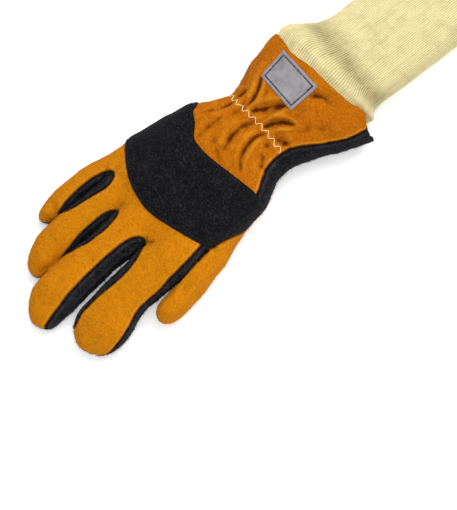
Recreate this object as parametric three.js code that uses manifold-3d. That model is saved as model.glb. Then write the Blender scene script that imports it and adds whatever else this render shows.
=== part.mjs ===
// Right-hand firefighter glove lying palm down, with a gauntlet cuff and a knit wristlet.
// Millimetres, +Z up, +Y to the fingertips, +X to the little finger.
// The origin is on the surface that the glove lies on, below the middle of the gathered wrist line.

import * as THREE from 'three';
import { mergeVertices } from 'three/addons/utils/BufferGeometryUtils.js';
import Module from 'manifold-3d';

const wasm = await Module();
wasm.setup();

// Leather and knit
const leatherWall = 2.4;
const knitWall = 3.2;
const seamGap = 0.3;
const layerGap = 0.3;
const bandThickness = 1.5;
const labelThickness = 0.7;

// Hand body
const palmLength = 102;
const palmWidth = 103;
const palmHeight = 42;
const wristWidth = 68;
const wristHeight = 38.5;
const gauntletLength = 57;
const gauntletWidth = 105;
const gauntletHeight = 47;
const gauntletSlantShare = 0.15;
const restFlat = 1.2;
const hollowRun = 14;

// Fingers: root is the middle of the finger where its own form starts inside the palm
const fingerRoot = 60;
const indexFinger = { root: -32, length: 134.5, width: 40, height: 36 };
const middleFinger = { root: 1, length: 150.5, width: 33.6, height: 38 };
const ringFinger = { root: 30.5, length: 130.6, width: 24.6, height: 35 };
const littleFinger = { root: 50, length: 102.4, width: 17, height: 28 };

// Thumb
const thumbRoot = 30;
const thumbLength = 109.3;
const thumbWidth = 19;
const thumbHeight = 26.5;
const thumbReach = 32;
const thumbSide = -27;
const thumbClearance = 1;
const webShare = 0.42;

// Knuckle band, label and hem
const bandLow = 44;
const bandHigh = 97;
const bandDrop = 14;
const labelWidth = 36;
const labelLength = 25;
const labelSide = 10.3;
const labelBehindWrist = 35.3;
const labelFlare = 3;
const hemDepth = 8;

// Thenar lobe, under the ball of the thumb
const lobeLow = 20;
const lobeHigh = 58;
const lobeReach = 60;
const lobeInner = 2;
const lobeHeight = 12;

// Wristlet
const wristletRun = 111;
const wristletWidth = 71.6;
const wristletHeight = 35.5;
const wristletClearance = 0.5;

// Facets
const bodySides = 26;
const fingerSides = 12;
const thumbSides = 12;
const wristletSides = 19;
const bodySquareness = 2.5;
const fingerSquareness = 2.25;
const cutReach = 400;
const cutSlack = 1;

// Seams: height of the side seam on the hand, its share of a finger's height, the crotches
const sideSeamHeight = 9;
const fingerSeamShare = 0.42;
const indexCrotch = 111;
const ringCrotch = 113;
const littleCrotch = 99.5;
const frontSeam = 113;

// Sections of the gauntlet: along is a share of gauntletLength behind the wrist line, side of
// wristWidth, wide and top of the way from the wrist's size (0) to the gauntlet's size (1).
// Edge is where the back panel ends on the thumb's side, a share of the half width.
const gauntletSections = [
  { along: 1.0, side: -0.06, wide: 1.0, top: 1.0, edge: 0.89 },
  { along: 0.86, side: -0.055, wide: 0.93, top: 0.92, edge: 0.89 },
  { along: 0.7, side: -0.045, wide: 0.79, top: 0.78, edge: 0.88 },
  { along: 0.56, side: -0.03, wide: 0.65, top: 0.66, edge: 0.86 },
  { along: 0.43, side: -0.01, wide: 0.51, top: 0.55, edge: 0.84 },
  { along: 0.31, side: 0, wide: 0.34, top: 0.42, edge: 0.81 },
  { along: 0.2, side: 0, wide: 0.2, top: 0.3, edge: 0.78 },
  { along: 0.1, side: 0, wide: 0.07, top: 0.12, edge: 0.76 },
];

// Sections of the hand: along is a share of palmLength, side a share of palmWidth,
// wide of the way from the wrist's width to the palm's width, top and under of palmHeight.
const palmSections = [
  { along: 0, side: 0, wide: 0, top: 0.917, under: 0, edge: 0.75 },
  { along: 0.12, side: 0.01, wide: 0.11, top: 0.955, under: 0, edge: 0.77 },
  { along: 0.19, side: 0.012, wide: 0.32, top: 0.975, under: 0, edge: 0.81 },
  { along: 0.29, side: 0.01, wide: 0.65, top: 1.0, under: 0, edge: 0.86 },
  { along: 0.4, side: 0.004, wide: 0.8, top: 1.01, under: 0, edge: 0.88 },
  { along: 0.52, side: 0.004, wide: 0.9, top: 1.0, under: 0, edge: 0.88 },
  { along: 0.74, side: 0.026, wide: 0.96, top: 0.965, under: 0, edge: 0.88 },
  { along: 0.84, side: 0.038, wide: 0.91, top: 0.94, under: 0, edge: 0.87 },
  { along: 0.93, side: 0.034, wide: 0.95, top: 0.89, under: 0.02, edge: 0.87 },
  { along: 1.0, side: 0.03, wide: 0.93, top: 0.79, under: 0.09, edge: 0.86 },
  { along: 1.045, side: 0.025, wide: 0.8, top: 0.67, under: 0.17, edge: 0.86 },
  { along: 1.08, side: 0.01, wide: 0.6, top: 0.5, under: 0.27, edge: 0.86 },
];

// Sections of a finger: along is a share of its length, side and wide shares of its width,
// top and under shares of its height.
const indexSections = [
  { along: 0, side: 0.1, wide: 0.9, top: 0.99, under: 0.12 },
  { along: 0.33, side: 0.01, wide: 0.91, top: 0.96, under: 0.09 },
  { along: 0.48, side: -0.005, wide: 0.91, top: 0.89, under: 0.14 },
  { along: 0.62, side: -0.035, wide: 0.865, top: 0.82, under: 0.17 },
  { along: 0.74, side: -0.12, wide: 0.98, top: 0.77, under: 0.11 },
  { along: 0.83, side: -0.17, wide: 1.0, top: 0.7, under: 0.05 },
  { along: 0.9, side: -0.175, wide: 0.91, top: 0.63, under: 0.015 },
  { along: 0.945, side: -0.18, wide: 0.73, top: 0.56, under: 0.03 },
  { along: 0.98, side: -0.185, wide: 0.46, top: 0.46, under: 0.1 },
  { along: 1.0, side: -0.185, wide: 0.16, top: 0.35, under: 0.2 },
];

const middleSections = [
  { along: 0, side: 0.03, wide: 1.04, top: 0.98, under: 0.1 },
  { along: 0.3, side: 0.018, wide: 1.0, top: 0.95, under: 0.08 },
  { along: 0.43, side: 0, wide: 0.98, top: 0.88, under: 0.13 },
  { along: 0.565, side: -0.006, wide: 0.89, top: 0.82, under: 0.18 },
  { along: 0.665, side: -0.027, wide: 0.93, top: 0.78, under: 0.16 },
  { along: 0.765, side: -0.03, wide: 1.0, top: 0.74, under: 0.1 },
  { along: 0.865, side: -0.062, wide: 0.98, top: 0.66, under: 0.02 },
  { along: 0.917, side: -0.095, wide: 0.9, top: 0.58, under: 0.01 },
  { along: 0.957, side: -0.155, wide: 0.71, top: 0.49, under: 0.03 },
  { along: 0.985, side: -0.17, wide: 0.42, top: 0.4, under: 0.1 },
  { along: 1.0, side: -0.175, wide: 0.15, top: 0.3, under: 0.18 },
];

const ringSections = [
  { along: 0, side: -0.1, wide: 1.1, top: 0.98, under: 0.12 },
  { along: 0.345, side: -0.03, wide: 1.07, top: 0.95, under: 0.09 },
  { along: 0.46, side: 0, wide: 1.07, top: 0.88, under: 0.14 },
  { along: 0.61, side: 0.008, wide: 0.975, top: 0.81, under: 0.2 },
  { along: 0.73, side: 0.008, wide: 0.975, top: 0.77, under: 0.15 },
  { along: 0.87, side: -0.045, wide: 0.94, top: 0.67, under: 0.03 },
  { along: 0.92, side: -0.1, wide: 0.83, top: 0.61, under: 0.015 },
  { along: 0.965, side: -0.18, wide: 0.65, top: 0.51, under: 0.04 },
  { along: 0.988, side: -0.22, wide: 0.42, top: 0.42, under: 0.12 },
  { along: 1.0, side: -0.24, wide: 0.16, top: 0.32, under: 0.2 },
];

const littleSections = [
  { along: 0, side: -0.48, wide: 0.97, top: 1.0, under: 0.14 },
  { along: 0.39, side: -0.1, wide: 1.03, top: 0.97, under: 0.11 },
  { along: 0.53, side: 0.035, wide: 1.02, top: 0.93, under: 0.15 },
  { along: 0.68, side: 0.094, wide: 0.94, top: 0.88, under: 0.18 },
  { along: 0.83, side: 0.065, wide: 0.89, top: 0.82, under: 0.13 },
  { along: 0.91, side: 0.06, wide: 0.78, top: 0.73, under: 0.03 },
  { along: 0.96, side: 0.075, wide: 0.59, top: 0.61, under: 0.04 },
  { along: 0.987, side: 0.09, wide: 0.36, top: 0.48, under: 0.14 },
  { along: 1.0, side: 0.09, wide: 0.14, top: 0.36, under: 0.22 },
];

// Sections of the thumb: side is a share of thumbReach, the rest as for a finger.
const thumbSections = [
  { along: 0, side: 0.1, wide: 1.25, top: 0.84, under: 0.12 },
  { along: 0.13, side: -0.14, wide: 1.4, top: 0.98, under: 0.08 },
  { along: 0.25, side: -0.34, wide: 1.3, top: 1.02, under: 0.04 },
  { along: 0.35, side: -0.5, wide: 1.1, top: 1.02, under: 0.015 },
  { along: 0.46, side: -0.69, wide: 1.0, top: 1.0, under: 0.01 },
  { along: 0.6, side: -0.83, wide: 0.97, top: 0.97, under: 0.02 },
  { along: 0.73, side: -0.95, wide: 0.97, top: 0.94, under: 0.04 },
  { along: 0.85, side: -1.02, wide: 0.96, top: 0.9, under: 0.03 },
  { along: 0.925, side: -1.03, wide: 0.86, top: 0.83, under: 0.03 },
  { along: 0.97, side: -1.04, wide: 0.62, top: 0.7, under: 0.1 },
  { along: 0.992, side: -1.045, wide: 0.36, top: 0.57, under: 0.2 },
  { along: 1.0, side: -1.045, wide: 0.15, top: 0.46, under: 0.28 },
];

// Sections of the wristlet: along is a share of wristletRun behind the gauntlet's end,
// wide a share of the way from the wristlet's width to the gauntlet's, top the same in height.
const wristletSections = [
  { along: -0.06, side: -0.03, wide: 0.7, top: 0.62, under: 0.085 },
  { along: -0.01, side: -0.03, wide: 0.74, top: 0.66, under: 0.075 },
  { along: 0.035, side: -0.02, wide: 0.84, top: 0.8, under: 0.03 },
  { along: 0.075, side: -0.01, wide: 0.72, top: 0.74, under: 0 },
  { along: 0.12, side: 0, wide: 0.4, top: 0.44, under: 0 },
  { along: 0.18, side: -0.003, wide: 0.12, top: 0.18, under: 0 },
  { along: 0.26, side: -0.008, wide: 0.0, top: 0.04, under: 0 },
  { along: 0.45, side: -0.012, wide: -0.02, top: -0.04, under: 0 },
  { along: 0.82, side: -0.014, wide: -0.01, top: -0.08, under: 0 },
  { along: 1.0, side: -0.01, wide: 0.0, top: -0.08, under: 0 },
];

// Gathers at the wrist: sides are shares of half the wrist's width, lengths of gauntletLength,
// wide a share of wristWidth and deep a share of wristHeight. They sink into the back.
const gatherFolds = [
  { fromSide: -0.5, from: 0.5, toSide: -0.18, to: 0.06, wide: 0.06, deep: 0.07 },
  { fromSide: 0.08, from: 0.5, toSide: 0.12, to: 0.1, wide: 0.05, deep: 0.05 },
  { fromSide: 0.52, from: 0.66, toSide: 0.5, to: 0.06, wide: 0.05, deep: 0.05 },
  { fromSide: 0.9, from: 0.42, toSide: 0.84, to: 0.08, wide: 0.05, deep: 0.07 },
  { fromSide: -0.78, from: 0.36, toSide: -0.72, to: 0.26, wide: 0.06, deep: 0.06 },
  { fromSide: -0.17, from: -0.06, toSide: -0.5, to: -0.36, wide: 0.06, deep: 0.08 },
  { fromSide: 0.27, from: -0.08, toSide: -0.08, to: -0.46, wide: 0.07, deep: 0.11 },
  { fromSide: 0.52, from: -0.05, toSide: 0.78, to: -0.38, wide: 0.06, deep: 0.08 },
  { fromSide: -0.25, from: -0.66, toSide: -0.75, to: -0.86, wide: 0.12, deep: 0.06 },
];

// Edge of the back panel along the forefinger: along is a share of its length from its root,
// edge a share of its half width.
const indexEdge = [
  { along: 0.33, edge: 0.86 },
  { along: 0.48, edge: 0.87 },
  { along: 0.62, edge: 0.88 },
  { along: 0.74, edge: 0.89 },
  { along: 0.83, edge: 0.92 },
  { along: 0.9, edge: 1.0 },
  { along: 0.96, edge: 1.2 },
];

// Edges of the panels between the fingers: along is a share of the way from the crotch to the
// longer fingertip, edge a share of that finger's half width.
const fingerSlots = [
  {
    name: 'fourchette_index_middle',
    left: indexFinger,
    leftSections: indexSections,
    right: middleFinger,
    rightSections: middleSections,
    reach: middleFinger.length,
    crotch: indexCrotch,
    side: -11,
    leftEdge: [
      { along: 0.03, edge: 0.95 }, { along: 0.09, edge: 0.77 }, { along: 0.19, edge: 0.57 },
      { along: 0.32, edge: 0.57 }, { along: 0.54, edge: 0.73 }, { along: 0.7, edge: 0.79 },
      { along: 0.78, edge: 0.85 }, { along: 0.82, edge: 1.3 },
    ],
    rightEdge: [
      { along: 0.05, edge: 0.51 }, { along: 0.14, edge: 0.42 }, { along: 0.3, edge: 0.43 },
      { along: 0.5, edge: 0.46 }, { along: 0.69, edge: 0.55 }, { along: 0.8, edge: 0.65 },
      { along: 0.92, edge: 0.76 }, { along: 0.97, edge: 1.2 },
    ],
  },
  {
    name: 'fourchette_middle_ring',
    left: middleFinger,
    leftSections: middleSections,
    right: ringFinger,
    rightSections: ringSections,
    reach: ringFinger.length,
    crotch: ringCrotch,
    side: 15.5,
    leftEdge: [
      { along: 0.06, edge: 0.66 }, { along: 0.19, edge: 0.56 }, { along: 0.34, edge: 0.64 },
      { along: 0.54, edge: 0.86 }, { along: 0.76, edge: 1.02 },
    ],
    rightEdge: [
      { along: 0.06, edge: 0.74 }, { along: 0.2, edge: 0.71 }, { along: 0.41, edge: 0.83 },
      { along: 0.6, edge: 0.93 }, { along: 0.8, edge: 1.04 },
    ],
  },
  {
    name: 'fourchette_ring_little',
    left: ringFinger,
    leftSections: ringSections,
    right: littleFinger,
    rightSections: littleSections,
    reach: littleFinger.length,
    crotch: littleCrotch,
    side: 40.4,
    leftEdge: [
      { along: 0.05, edge: 0.45 }, { along: 0.14, edge: 0.27 }, { along: 0.36, edge: 0.45 },
      { along: 0.64, edge: 0.7 }, { along: 0.85, edge: 1.05 },
    ],
    rightEdge: [
      { along: 0.06, edge: 0.5 }, { along: 0.25, edge: 0.36 }, { along: 0.42, edge: 0.45 },
      { along: 0.68, edge: 0.62 }, { along: 0.84, edge: 1.05 },
    ],
  },
];

// Curved seams at the base of the two middle finger fronts: side is a share of the finger's
// half width, along a share of its width beyond frontSeam.
const fingerFronts = [
  {
    name: 'middle_front',
    finger: middleFinger,
    sections: middleSections,
    seamLine: [
      { side: -1, along: 0.08 }, { side: -0.55, along: -0.04 }, { side: 0, along: -0.01 },
      { side: 0.5, along: 0.03 }, { side: 1, along: 0.0 },
    ],
  },
  {
    name: 'ring_front',
    finger: ringFinger,
    sections: ringSections,
    seamLine: [
      { side: -1, along: 0.0 }, { side: -0.5, along: -0.36 }, { side: 0, along: -0.52 },
      { side: 0.5, along: -0.58 }, { side: 1, along: -0.36 },
    ],
  },
];

// Outline of the lobe: side runs from its outer reach (0) to its inner end (1), along from
// lobeLow (0) to lobeHigh (1).
const lobeOutline = [
  { side: 0.02, along: 0.62 }, { side: 0.14, along: 0.3 }, { side: 0.34, along: 0.1 },
  { side: 0.6, along: 0.0 }, { side: 0.86, along: 0.04 }, { side: 0.98, along: 0.26 },
  { side: 1.0, along: 0.5 }, { side: 0.9, along: 0.74 }, { side: 0.78, along: 0.98 },
  { side: 0.62, along: 1.2 }, { side: 0.5, along: 1.45 }, { side: 0.16, along: 1.45 },
];

// Edges of the knuckle band: side is a share of the hand's half width there, along runs from
// bandLow (0) to bandHigh (1).
const bandUpperEdge = [
  { side: -0.97, along: 0.62 }, { side: -0.93, along: 0.69 }, { side: -0.74, along: 0.78 },
  { side: -0.54, along: 0.855 }, { side: -0.34, along: 0.92 }, { side: -0.18, along: 0.975 },
  { side: 0, along: 1.0 }, { side: 0.1, along: 1.0 }, { side: 0.28, along: 0.98 },
  { side: 0.48, along: 0.925 }, { side: 0.69, along: 0.83 }, { side: 0.81, along: 0.765 },
  { side: 0.94, along: 0.69 }, { side: 1.1, along: 0.6 },
];
const bandLowerEdge = [
  { side: 1.1, along: -0.38 }, { side: 0.93, along: -0.34 }, { side: 0.83, along: -0.23 },
  { side: 0.64, along: -0.17 }, { side: 0.5, along: -0.08 }, { side: 0.44, along: -0.01 },
  { side: 0.3, along: 0 }, { side: 0.12, along: -0.01 }, { side: -0.05, along: -0.04 },
  { side: -0.36, along: -0.11 }, { side: -0.55, along: -0.15 }, { side: -0.74, along: -0.195 },
  { side: -0.9, along: -0.21 }, { side: -0.97, along: -0.18 },
];

// Solids
function toSolid(geometry) {
  const bare = geometry.clone();
  bare.deleteAttribute('normal');
  bare.deleteAttribute('uv');
  const merged = mergeVertices(bare, 1e-4);
  return new wasm.Manifold(new wasm.Mesh({
    numProp: 3,
    vertProperties: new Float32Array(merged.attributes.position.array),
    triVerts: new Uint32Array(merged.index.array),
  }));
}

function biggestPart(solid) {
  const parts = solid.decompose();
  return parts.reduce((best, part) => (part.volume() > best.volume() ? part : best));
}

function toGeometry(solid) {
  const mesh = solid.getMesh();
  const geometry = new THREE.BufferGeometry();
  geometry.setAttribute('position', new THREE.BufferAttribute(new Float32Array(mesh.vertProperties), 3));
  geometry.setIndex(new THREE.BufferAttribute(new Uint32Array(mesh.triVerts), 1));
  geometry.computeVertexNormals();
  return geometry;
}

function block(lowX, highX, lowY, highY, lowZ, highZ) {
  const geometry = new THREE.BoxGeometry(highX - lowX, highY - lowY, highZ - lowZ);
  geometry.translate((lowX + highX) / 2, (lowY + highY) / 2, (lowZ + highZ) / 2);
  return toSolid(geometry);
}

// A plan outline raised from lowZ to highZ
function planPrism(points, lowZ, highZ) {
  const shape = new THREE.Shape(points.map(([x, y]) => new THREE.Vector2(x, y)));
  const geometry = new THREE.ExtrudeGeometry(shape, { depth: highZ - lowZ, bevelEnabled: false });
  geometry.translate(0, 0, lowZ);
  return toSolid(geometry);
}

// A closed outline moved outward by a distance
function growOutline(points, distance) {
  const area = THREE.ShapeUtils.area(points.map(([x, y]) => new THREE.Vector2(x, y)));
  const turn = Math.sign(area);
  return points.map(([x, y], index) => {
    const before = points[(index + points.length - 1) % points.length];
    const after = points[(index + 1) % points.length];
    const run = new THREE.Vector2(after[0] - before[0], after[1] - before[1]).normalize();
    return [x + run.y * turn * distance, y - run.x * turn * distance];
  });
}

// A smooth closed outline through a few points
function smoothOutline(points, steps) {
  const curve = new THREE.CatmullRomCurve3(points.map(([x, y]) => new THREE.Vector3(x, y, 0)), true);
  return curve.getPoints(steps).slice(0, steps).map((point) => [point.x, point.y]);
}

// Sections joined into one closed tube with flat ends
function loftTube(rings) {
  const sides = rings[0].length;
  const positions = rings.flat(2);
  const faces = [];
  rings.slice(1).forEach((_, row) => {
    for (let side = 0; side < sides; side += 1) {
      const next = (side + 1) % sides;
      const low = row * sides;
      const high = low + sides;
      faces.push(low + side, high + next, low + next, low + side, high + side, high + next);
    }
  });
  const last = (rings.length - 1) * sides;
  for (let side = 1; side < sides - 1; side += 1) {
    faces.push(0, side, side + 1);
    faces.push(last, last + side + 1, last + side);
  }
  const geometry = new THREE.BufferGeometry();
  geometry.setAttribute('position', new THREE.Float32BufferAttribute(positions, 3));
  geometry.setIndex(faces);
  const solid = toSolid(geometry);
  return solid.volume() > 0 ? solid : toSolid(flipFaces(geometry));
}

function flipFaces(geometry) {
  const flipped = geometry.clone();
  const index = Array.from(geometry.index.array);
  for (let face = 0; face < index.length; face += 3) {
    const second = index[face + 1];
    index[face + 1] = index[face + 2];
    index[face + 2] = second;
  }
  flipped.setIndex(index);
  return flipped;
}

const signedPower = (value, power) => Math.sign(value) * Math.abs(value) ** power;

// One rounded section: middle, half width, underside and top, with an optional slant and folds
function sectionRing({ y, middle, half, under, top, squareness, sides, slant = 0, sink = null }) {
  const ring = [];
  for (let side = 0; side < sides; side += 1) {
    const angle = (2 * Math.PI * side) / sides;
    const across = signedPower(Math.cos(angle), 2 / squareness);
    const upward = signedPower(Math.sin(angle), 2 / squareness);
    const x = middle + half * across;
    const sunk = sink && upward > 0 ? sink(x, y) * upward : 0;
    ring.push([x, y + slant * x, (top + under) / 2 + ((top - under) / 2) * upward - sunk]);
  }
  return ring;
}

// Depth of the gathers at a place on the back
function gatherDepth(x, y) {
  let depth = 0;
  gatherFolds.forEach((fold) => {
    const startX = (fold.fromSide * wristWidth) / 2;
    const startY = fold.from * gauntletLength;
    const runX = (fold.toSide * wristWidth) / 2 - startX;
    const runY = fold.to * gauntletLength - startY;
    const share = ((x - startX) * runX + (y - startY) * runY) / (runX ** 2 + runY ** 2);
    const near = Math.min(Math.max(share, 0), 1);
    const away = Math.hypot(x - startX - near * runX, y - startY - near * runY);
    depth += fold.deep * wristHeight * Math.exp(-((away / (fold.wide * wristWidth)) ** 2));
  });
  return depth;
}

// Hand and gauntlet, inset by a wall or grown by a negative one
function bodyRings(inset, run) {
  const rings = [];
  const ends = run > 0 ? [{ ...gauntletSections[0], extra: run }] : [];
  [...ends, ...gauntletSections].forEach((row) => {
    rings.push(sectionRing({
      y: -row.along * gauntletLength - (row.extra || 0),
      middle: row.side * wristWidth,
      half: THREE.MathUtils.lerp(wristWidth, gauntletWidth, row.wide) / 2 - inset,
      under: -restFlat + inset,
      top: THREE.MathUtils.lerp(wristHeight, gauntletHeight, row.top) - inset,
      squareness: bodySquareness,
      sides: bodySides,
      slant: gauntletSlantShare * row.along,
      sink: gatherDepth,
    }));
  });
  palmSections.forEach((row, index) => {
    const front = index === palmSections.length - 1 ? inset : 0;
    rings.push(sectionRing({
      y: row.along * palmLength - front,
      middle: row.side * palmWidth,
      half: THREE.MathUtils.lerp(wristWidth, palmWidth, row.wide) / 2 - inset,
      under: row.under * palmHeight - restFlat + inset,
      top: row.top * palmHeight - inset,
      squareness: bodySquareness,
      sides: bodySides,
      sink: gatherDepth,
    }));
  });
  return rings;
}

function fingerRings(finger, sections, inset) {
  return sections.map((row) => sectionRing({
    y: fingerRoot + row.along * (finger.length - inset),
    middle: finger.root + row.side * finger.width,
    half: Math.max((row.wide * finger.width) / 2 - inset, inset / 2),
    under: row.under * finger.height + inset * (1 - row.along ** 8 * 0.6),
    top: row.top * finger.height - inset * (1 - row.along ** 8 * 0.6),
    squareness: fingerSquareness,
    sides: fingerSides,
  }));
}

function thumbRings(inset) {
  return thumbSections.map((row) => sectionRing({
    y: thumbRoot + row.along * (thumbLength - inset),
    middle: thumbSide + row.side * thumbReach,
    half: Math.max((row.wide * thumbWidth) / 2 - inset, Math.abs(inset) / 2),
    under: row.under * thumbHeight + inset,
    top: row.top * thumbHeight - inset,
    squareness: fingerSquareness,
    sides: thumbSides,
  }));
}

function aboveFloor(solid, floor) {
  return solid.intersect(block(-cutReach, cutReach, -cutReach, cutReach, floor, cutReach));
}

const fingerPlans = [
  [indexFinger, indexSections],
  [middleFinger, middleSections],
  [ringFinger, ringSections],
  [littleFinger, littleSections],
];

// Everything but the thumb, with a hollow in its side where the thumb lies
function handForm(inset) {
  const body = loftTube(bodyRings(inset, inset > 0 ? hollowRun : 0));
  const hand = fingerPlans.reduce(
    (form, [finger, sections]) => form.add(loftTube(fingerRings(finger, sections, inset))),
    body,
  );
  const webLine = thumbRoot + webShare * thumbLength;
  const beyondWeb = block(-cutReach, cutReach, webLine - inset, cutReach, -cutReach, cutReach);
  const relief = loftTube(thumbRings(-thumbClearance - Math.max(inset, 0))).intersect(beyondWeb);
  return hand.subtract(relief);
}

const outerHand = handForm(0);
const innerHand = handForm(leatherWall);
const outerThumb = loftTube(thumbRings(0));
const innerThumb = loftTube(thumbRings(leatherWall));
const outerForm = aboveFloor(outerHand.add(outerThumb), 0);
const innerForm = aboveFloor(innerHand.add(innerThumb), leatherWall);
const gloveShell = outerForm.subtract(innerForm);

// Middle and half width of a row of sections at a distance along the glove
function spanAt(rows, y) {
  const last = rows.length - 1;
  const upper = Math.min(Math.max(rows.findIndex((row) => row.y >= y), 1), last);
  const high = y > rows[last].y ? last : upper;
  const low = high - 1;
  const share = Math.min(Math.max((y - rows[low].y) / (rows[high].y - rows[low].y), 0), 1);
  return {
    middle: THREE.MathUtils.lerp(rows[low].middle, rows[high].middle, share),
    half: THREE.MathUtils.lerp(rows[low].half, rows[high].half, share),
  };
}

function fingerSpans(finger, sections) {
  return sections.map((row) => ({
    y: fingerRoot + row.along * finger.length,
    middle: finger.root + row.side * finger.width,
    half: (row.wide * finger.width) / 2,
  }));
}

function palmSpans() {
  return palmSections.map((row) => ({
    y: row.along * palmLength,
    middle: row.side * palmWidth,
    half: THREE.MathUtils.lerp(wristWidth, palmWidth, row.wide) / 2,
  }));
}

// Lower part of a finger, up to its side seam
function fingerUnder(finger, sections, gap) {
  const rings = sections.filter((row) => row.along > 0.28).map((row) => {
    const y = fingerRoot + row.along * finger.length;
    const middle = finger.root + row.side * finger.width;
    const half = (row.wide * finger.width) / 2 + cutSlack;
    const seam = THREE.MathUtils.lerp(row.under, row.top, fingerSeamShare) * finger.height + gap;
    return [
      [middle - half, y, -cutSlack],
      [middle + half, y, -cutSlack],
      [middle + half, y, seam],
      [middle - half, y, seam],
    ];
  });
  const tip = rings[rings.length - 1].map(([x, y, z]) => [x, y + 2 * cutSlack, z]);
  return loftTube([...rings, tip]);
}

// Black strip beside the thumb, which reaches up on the back from the wrist to the forefinger
function edgeStrip(gap) {
  const points = [];
  gauntletSections.forEach((row) => {
    const half = THREE.MathUtils.lerp(wristWidth, gauntletWidth, row.wide) / 2;
    points.push([row.side * wristWidth - row.edge * half + gap, -row.along * gauntletLength]);
  });
  points[0][1] -= hollowRun;
  palmSections.filter((row) => row.along < 0.97).forEach((row) => {
    const half = THREE.MathUtils.lerp(wristWidth, palmWidth, row.wide) / 2;
    points.push([row.side * palmWidth - row.edge * half + gap, row.along * palmLength]);
  });
  const lowSide = points.map(([x, y]) => [x + leatherWall * 5, y]);
  lowSide.push([-palmWidth, points[points.length - 1][1]]);
  lowSide.push([-palmWidth, points[0][1]]);
  const spans = fingerSpans(indexFinger, indexSections);
  indexEdge.forEach((row) => {
    const y = fingerRoot + row.along * indexFinger.length;
    const span = spanAt(spans, y);
    points.push([span.middle - row.edge * span.half + gap, y]);
  });
  const farSide = -palmWidth;
  points.push([farSide, fingerRoot + indexFinger.length]);
  points.push([farSide, -gauntletLength - hollowRun]);
  return planPrism(points, -cutSlack, 2 * gauntletHeight).add(planPrism(lowSide, -cutSlack, palmHeight / 2));
}

// Palm side of the whole glove, up to the side seams
function palmZone(gap) {
  const frontY = palmLength * 1.08;
  const farSide = palmWidth;
  const slab = new THREE.Shape([
    new THREE.Vector2(-gauntletLength * 2, -cutSlack),
    new THREE.Vector2(frontY, -cutSlack),
    new THREE.Vector2(frontY, sideSeamHeight * 1.6 + gap),
    new THREE.Vector2(palmLength * 0.7, sideSeamHeight + gap),
    new THREE.Vector2(-gauntletLength * 2, sideSeamHeight + gap),
  ]);
  const geometry = new THREE.ExtrudeGeometry(slab, { depth: 2 * farSide, bevelEnabled: false });
  const toSide = new THREE.Matrix4().makeBasis(
    new THREE.Vector3(0, 1, 0),
    new THREE.Vector3(0, 0, 1),
    new THREE.Vector3(1, 0, 0),
  );
  geometry.applyMatrix4(toSide);
  geometry.translate(-farSide, 0, 0);
  const fingersUnder = fingerPlans.reduce(
    (form, [finger, sections]) => form.add(fingerUnder(finger, sections, gap)),
    toSolid(geometry),
  );
  return fingersUnder.add(edgeStrip(gap));
}

// Gap between two fingers, seen from above, from their crotch to their tips
function fourchetteZone(slot, gap) {
  const leftSpans = fingerSpans(slot.left, slot.leftSections);
  const rightSpans = fingerSpans(slot.right, slot.rightSections);
  const place = (spans, row, sign) => {
    const y = slot.crotch + row.along * (fingerRoot + slot.reach - slot.crotch);
    const span = spanAt(spans, y);
    return [span.middle + sign * row.edge * span.half, y];
  };
  const leftEdge = slot.leftEdge.map((row) => place(leftSpans, row, 1));
  const rightEdge = slot.rightEdge.map((row) => place(rightSpans, row, -1));
  const outline = [...leftEdge.reverse(), [slot.side, slot.crotch], ...rightEdge];
  return planPrism(growOutline(outline, gap), -cutSlack, 2 * palmHeight);
}

// Underside of one finger beyond the curved seam at its base
function frontZone(finger, sections, seamLine, gap) {
  const spans = fingerSpans(finger, sections);
  const tip = fingerRoot + finger.length + 3 * cutSlack;
  const base = seamLine.map((row) => {
    const y = frontSeam + row.along * finger.width;
    const span = spanAt(spans, y);
    return [span.middle + row.side * (span.half + layerGap), y];
  });
  const stops = [0.15, 0.3, 0.45, 0.6, 0.75, 0.86, 0.95, 1].map((share) => {
    const y = THREE.MathUtils.lerp(frontSeam, tip, share);
    return { y, span: spanAt(spans, y) };
  });
  const right = stops.map(({ y, span }) => [span.middle + span.half + cutSlack, y]);
  const left = stops.map(({ y, span }) => [span.middle - span.half - cutSlack, y]);
  return planPrism(growOutline([...base, ...right, ...left.reverse()], gap), -cutSlack, palmHeight);
}

// Orange lobe under the ball of the thumb
function lobeZone(gap) {
  const points = lobeOutline.map((row) => [
    THREE.MathUtils.lerp(-lobeReach, lobeInner, row.side),
    THREE.MathUtils.lerp(lobeLow, lobeHigh, row.along),
  ]);
  return planPrism(growOutline(smoothOutline(points, 24), gap), -cutSlack, lobeHeight + gap);
}

function thumbZone(gap) {
  return loftTube(thumbRings(-gap - 0.1)).add(lobeZone(gap));
}

// Strip along the side of the thumb that faces the forefinger
function thumbFrontZone(gap) {
  const rings = thumbSections.filter((row) => row.along > 0.42 && row.along < 0.96).map((row) => {
    const y = thumbRoot + row.along * thumbLength;
    const middle = thumbSide + row.side * thumbReach;
    const half = (row.wide * thumbWidth) / 2;
    const low = THREE.MathUtils.lerp(row.under, row.top, 0.3) * thumbHeight - gap;
    const high = THREE.MathUtils.lerp(row.under, row.top, 0.7) * thumbHeight + gap;
    const inner = middle + half * 0.5 - gap;
    const outer = middle + half + thumbClearance;
    return [[inner, y, low], [outer, y, low], [outer, y, high], [inner, y, high]];
  });
  return loftTube(rings);
}

// A layer of even thickness on the outside of the hand, inside a plan outline
function layerOn(outline, low, thickness) {
  const outside = handForm(-layerGap - thickness);
  const inside = handForm(-layerGap).add(loftTube(thumbRings(-layerGap)));
  return outside.subtract(inside).intersect(planPrism(outline, low, 2 * gauntletHeight));
}

function bandLine(rows) {
  const spans = palmSpans();
  return rows.map((row) => {
    const y = THREE.MathUtils.lerp(bandLow, bandHigh, row.along);
    const span = spanAt(spans, y);
    return [span.middle + row.side * span.half, y];
  });
}

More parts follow.
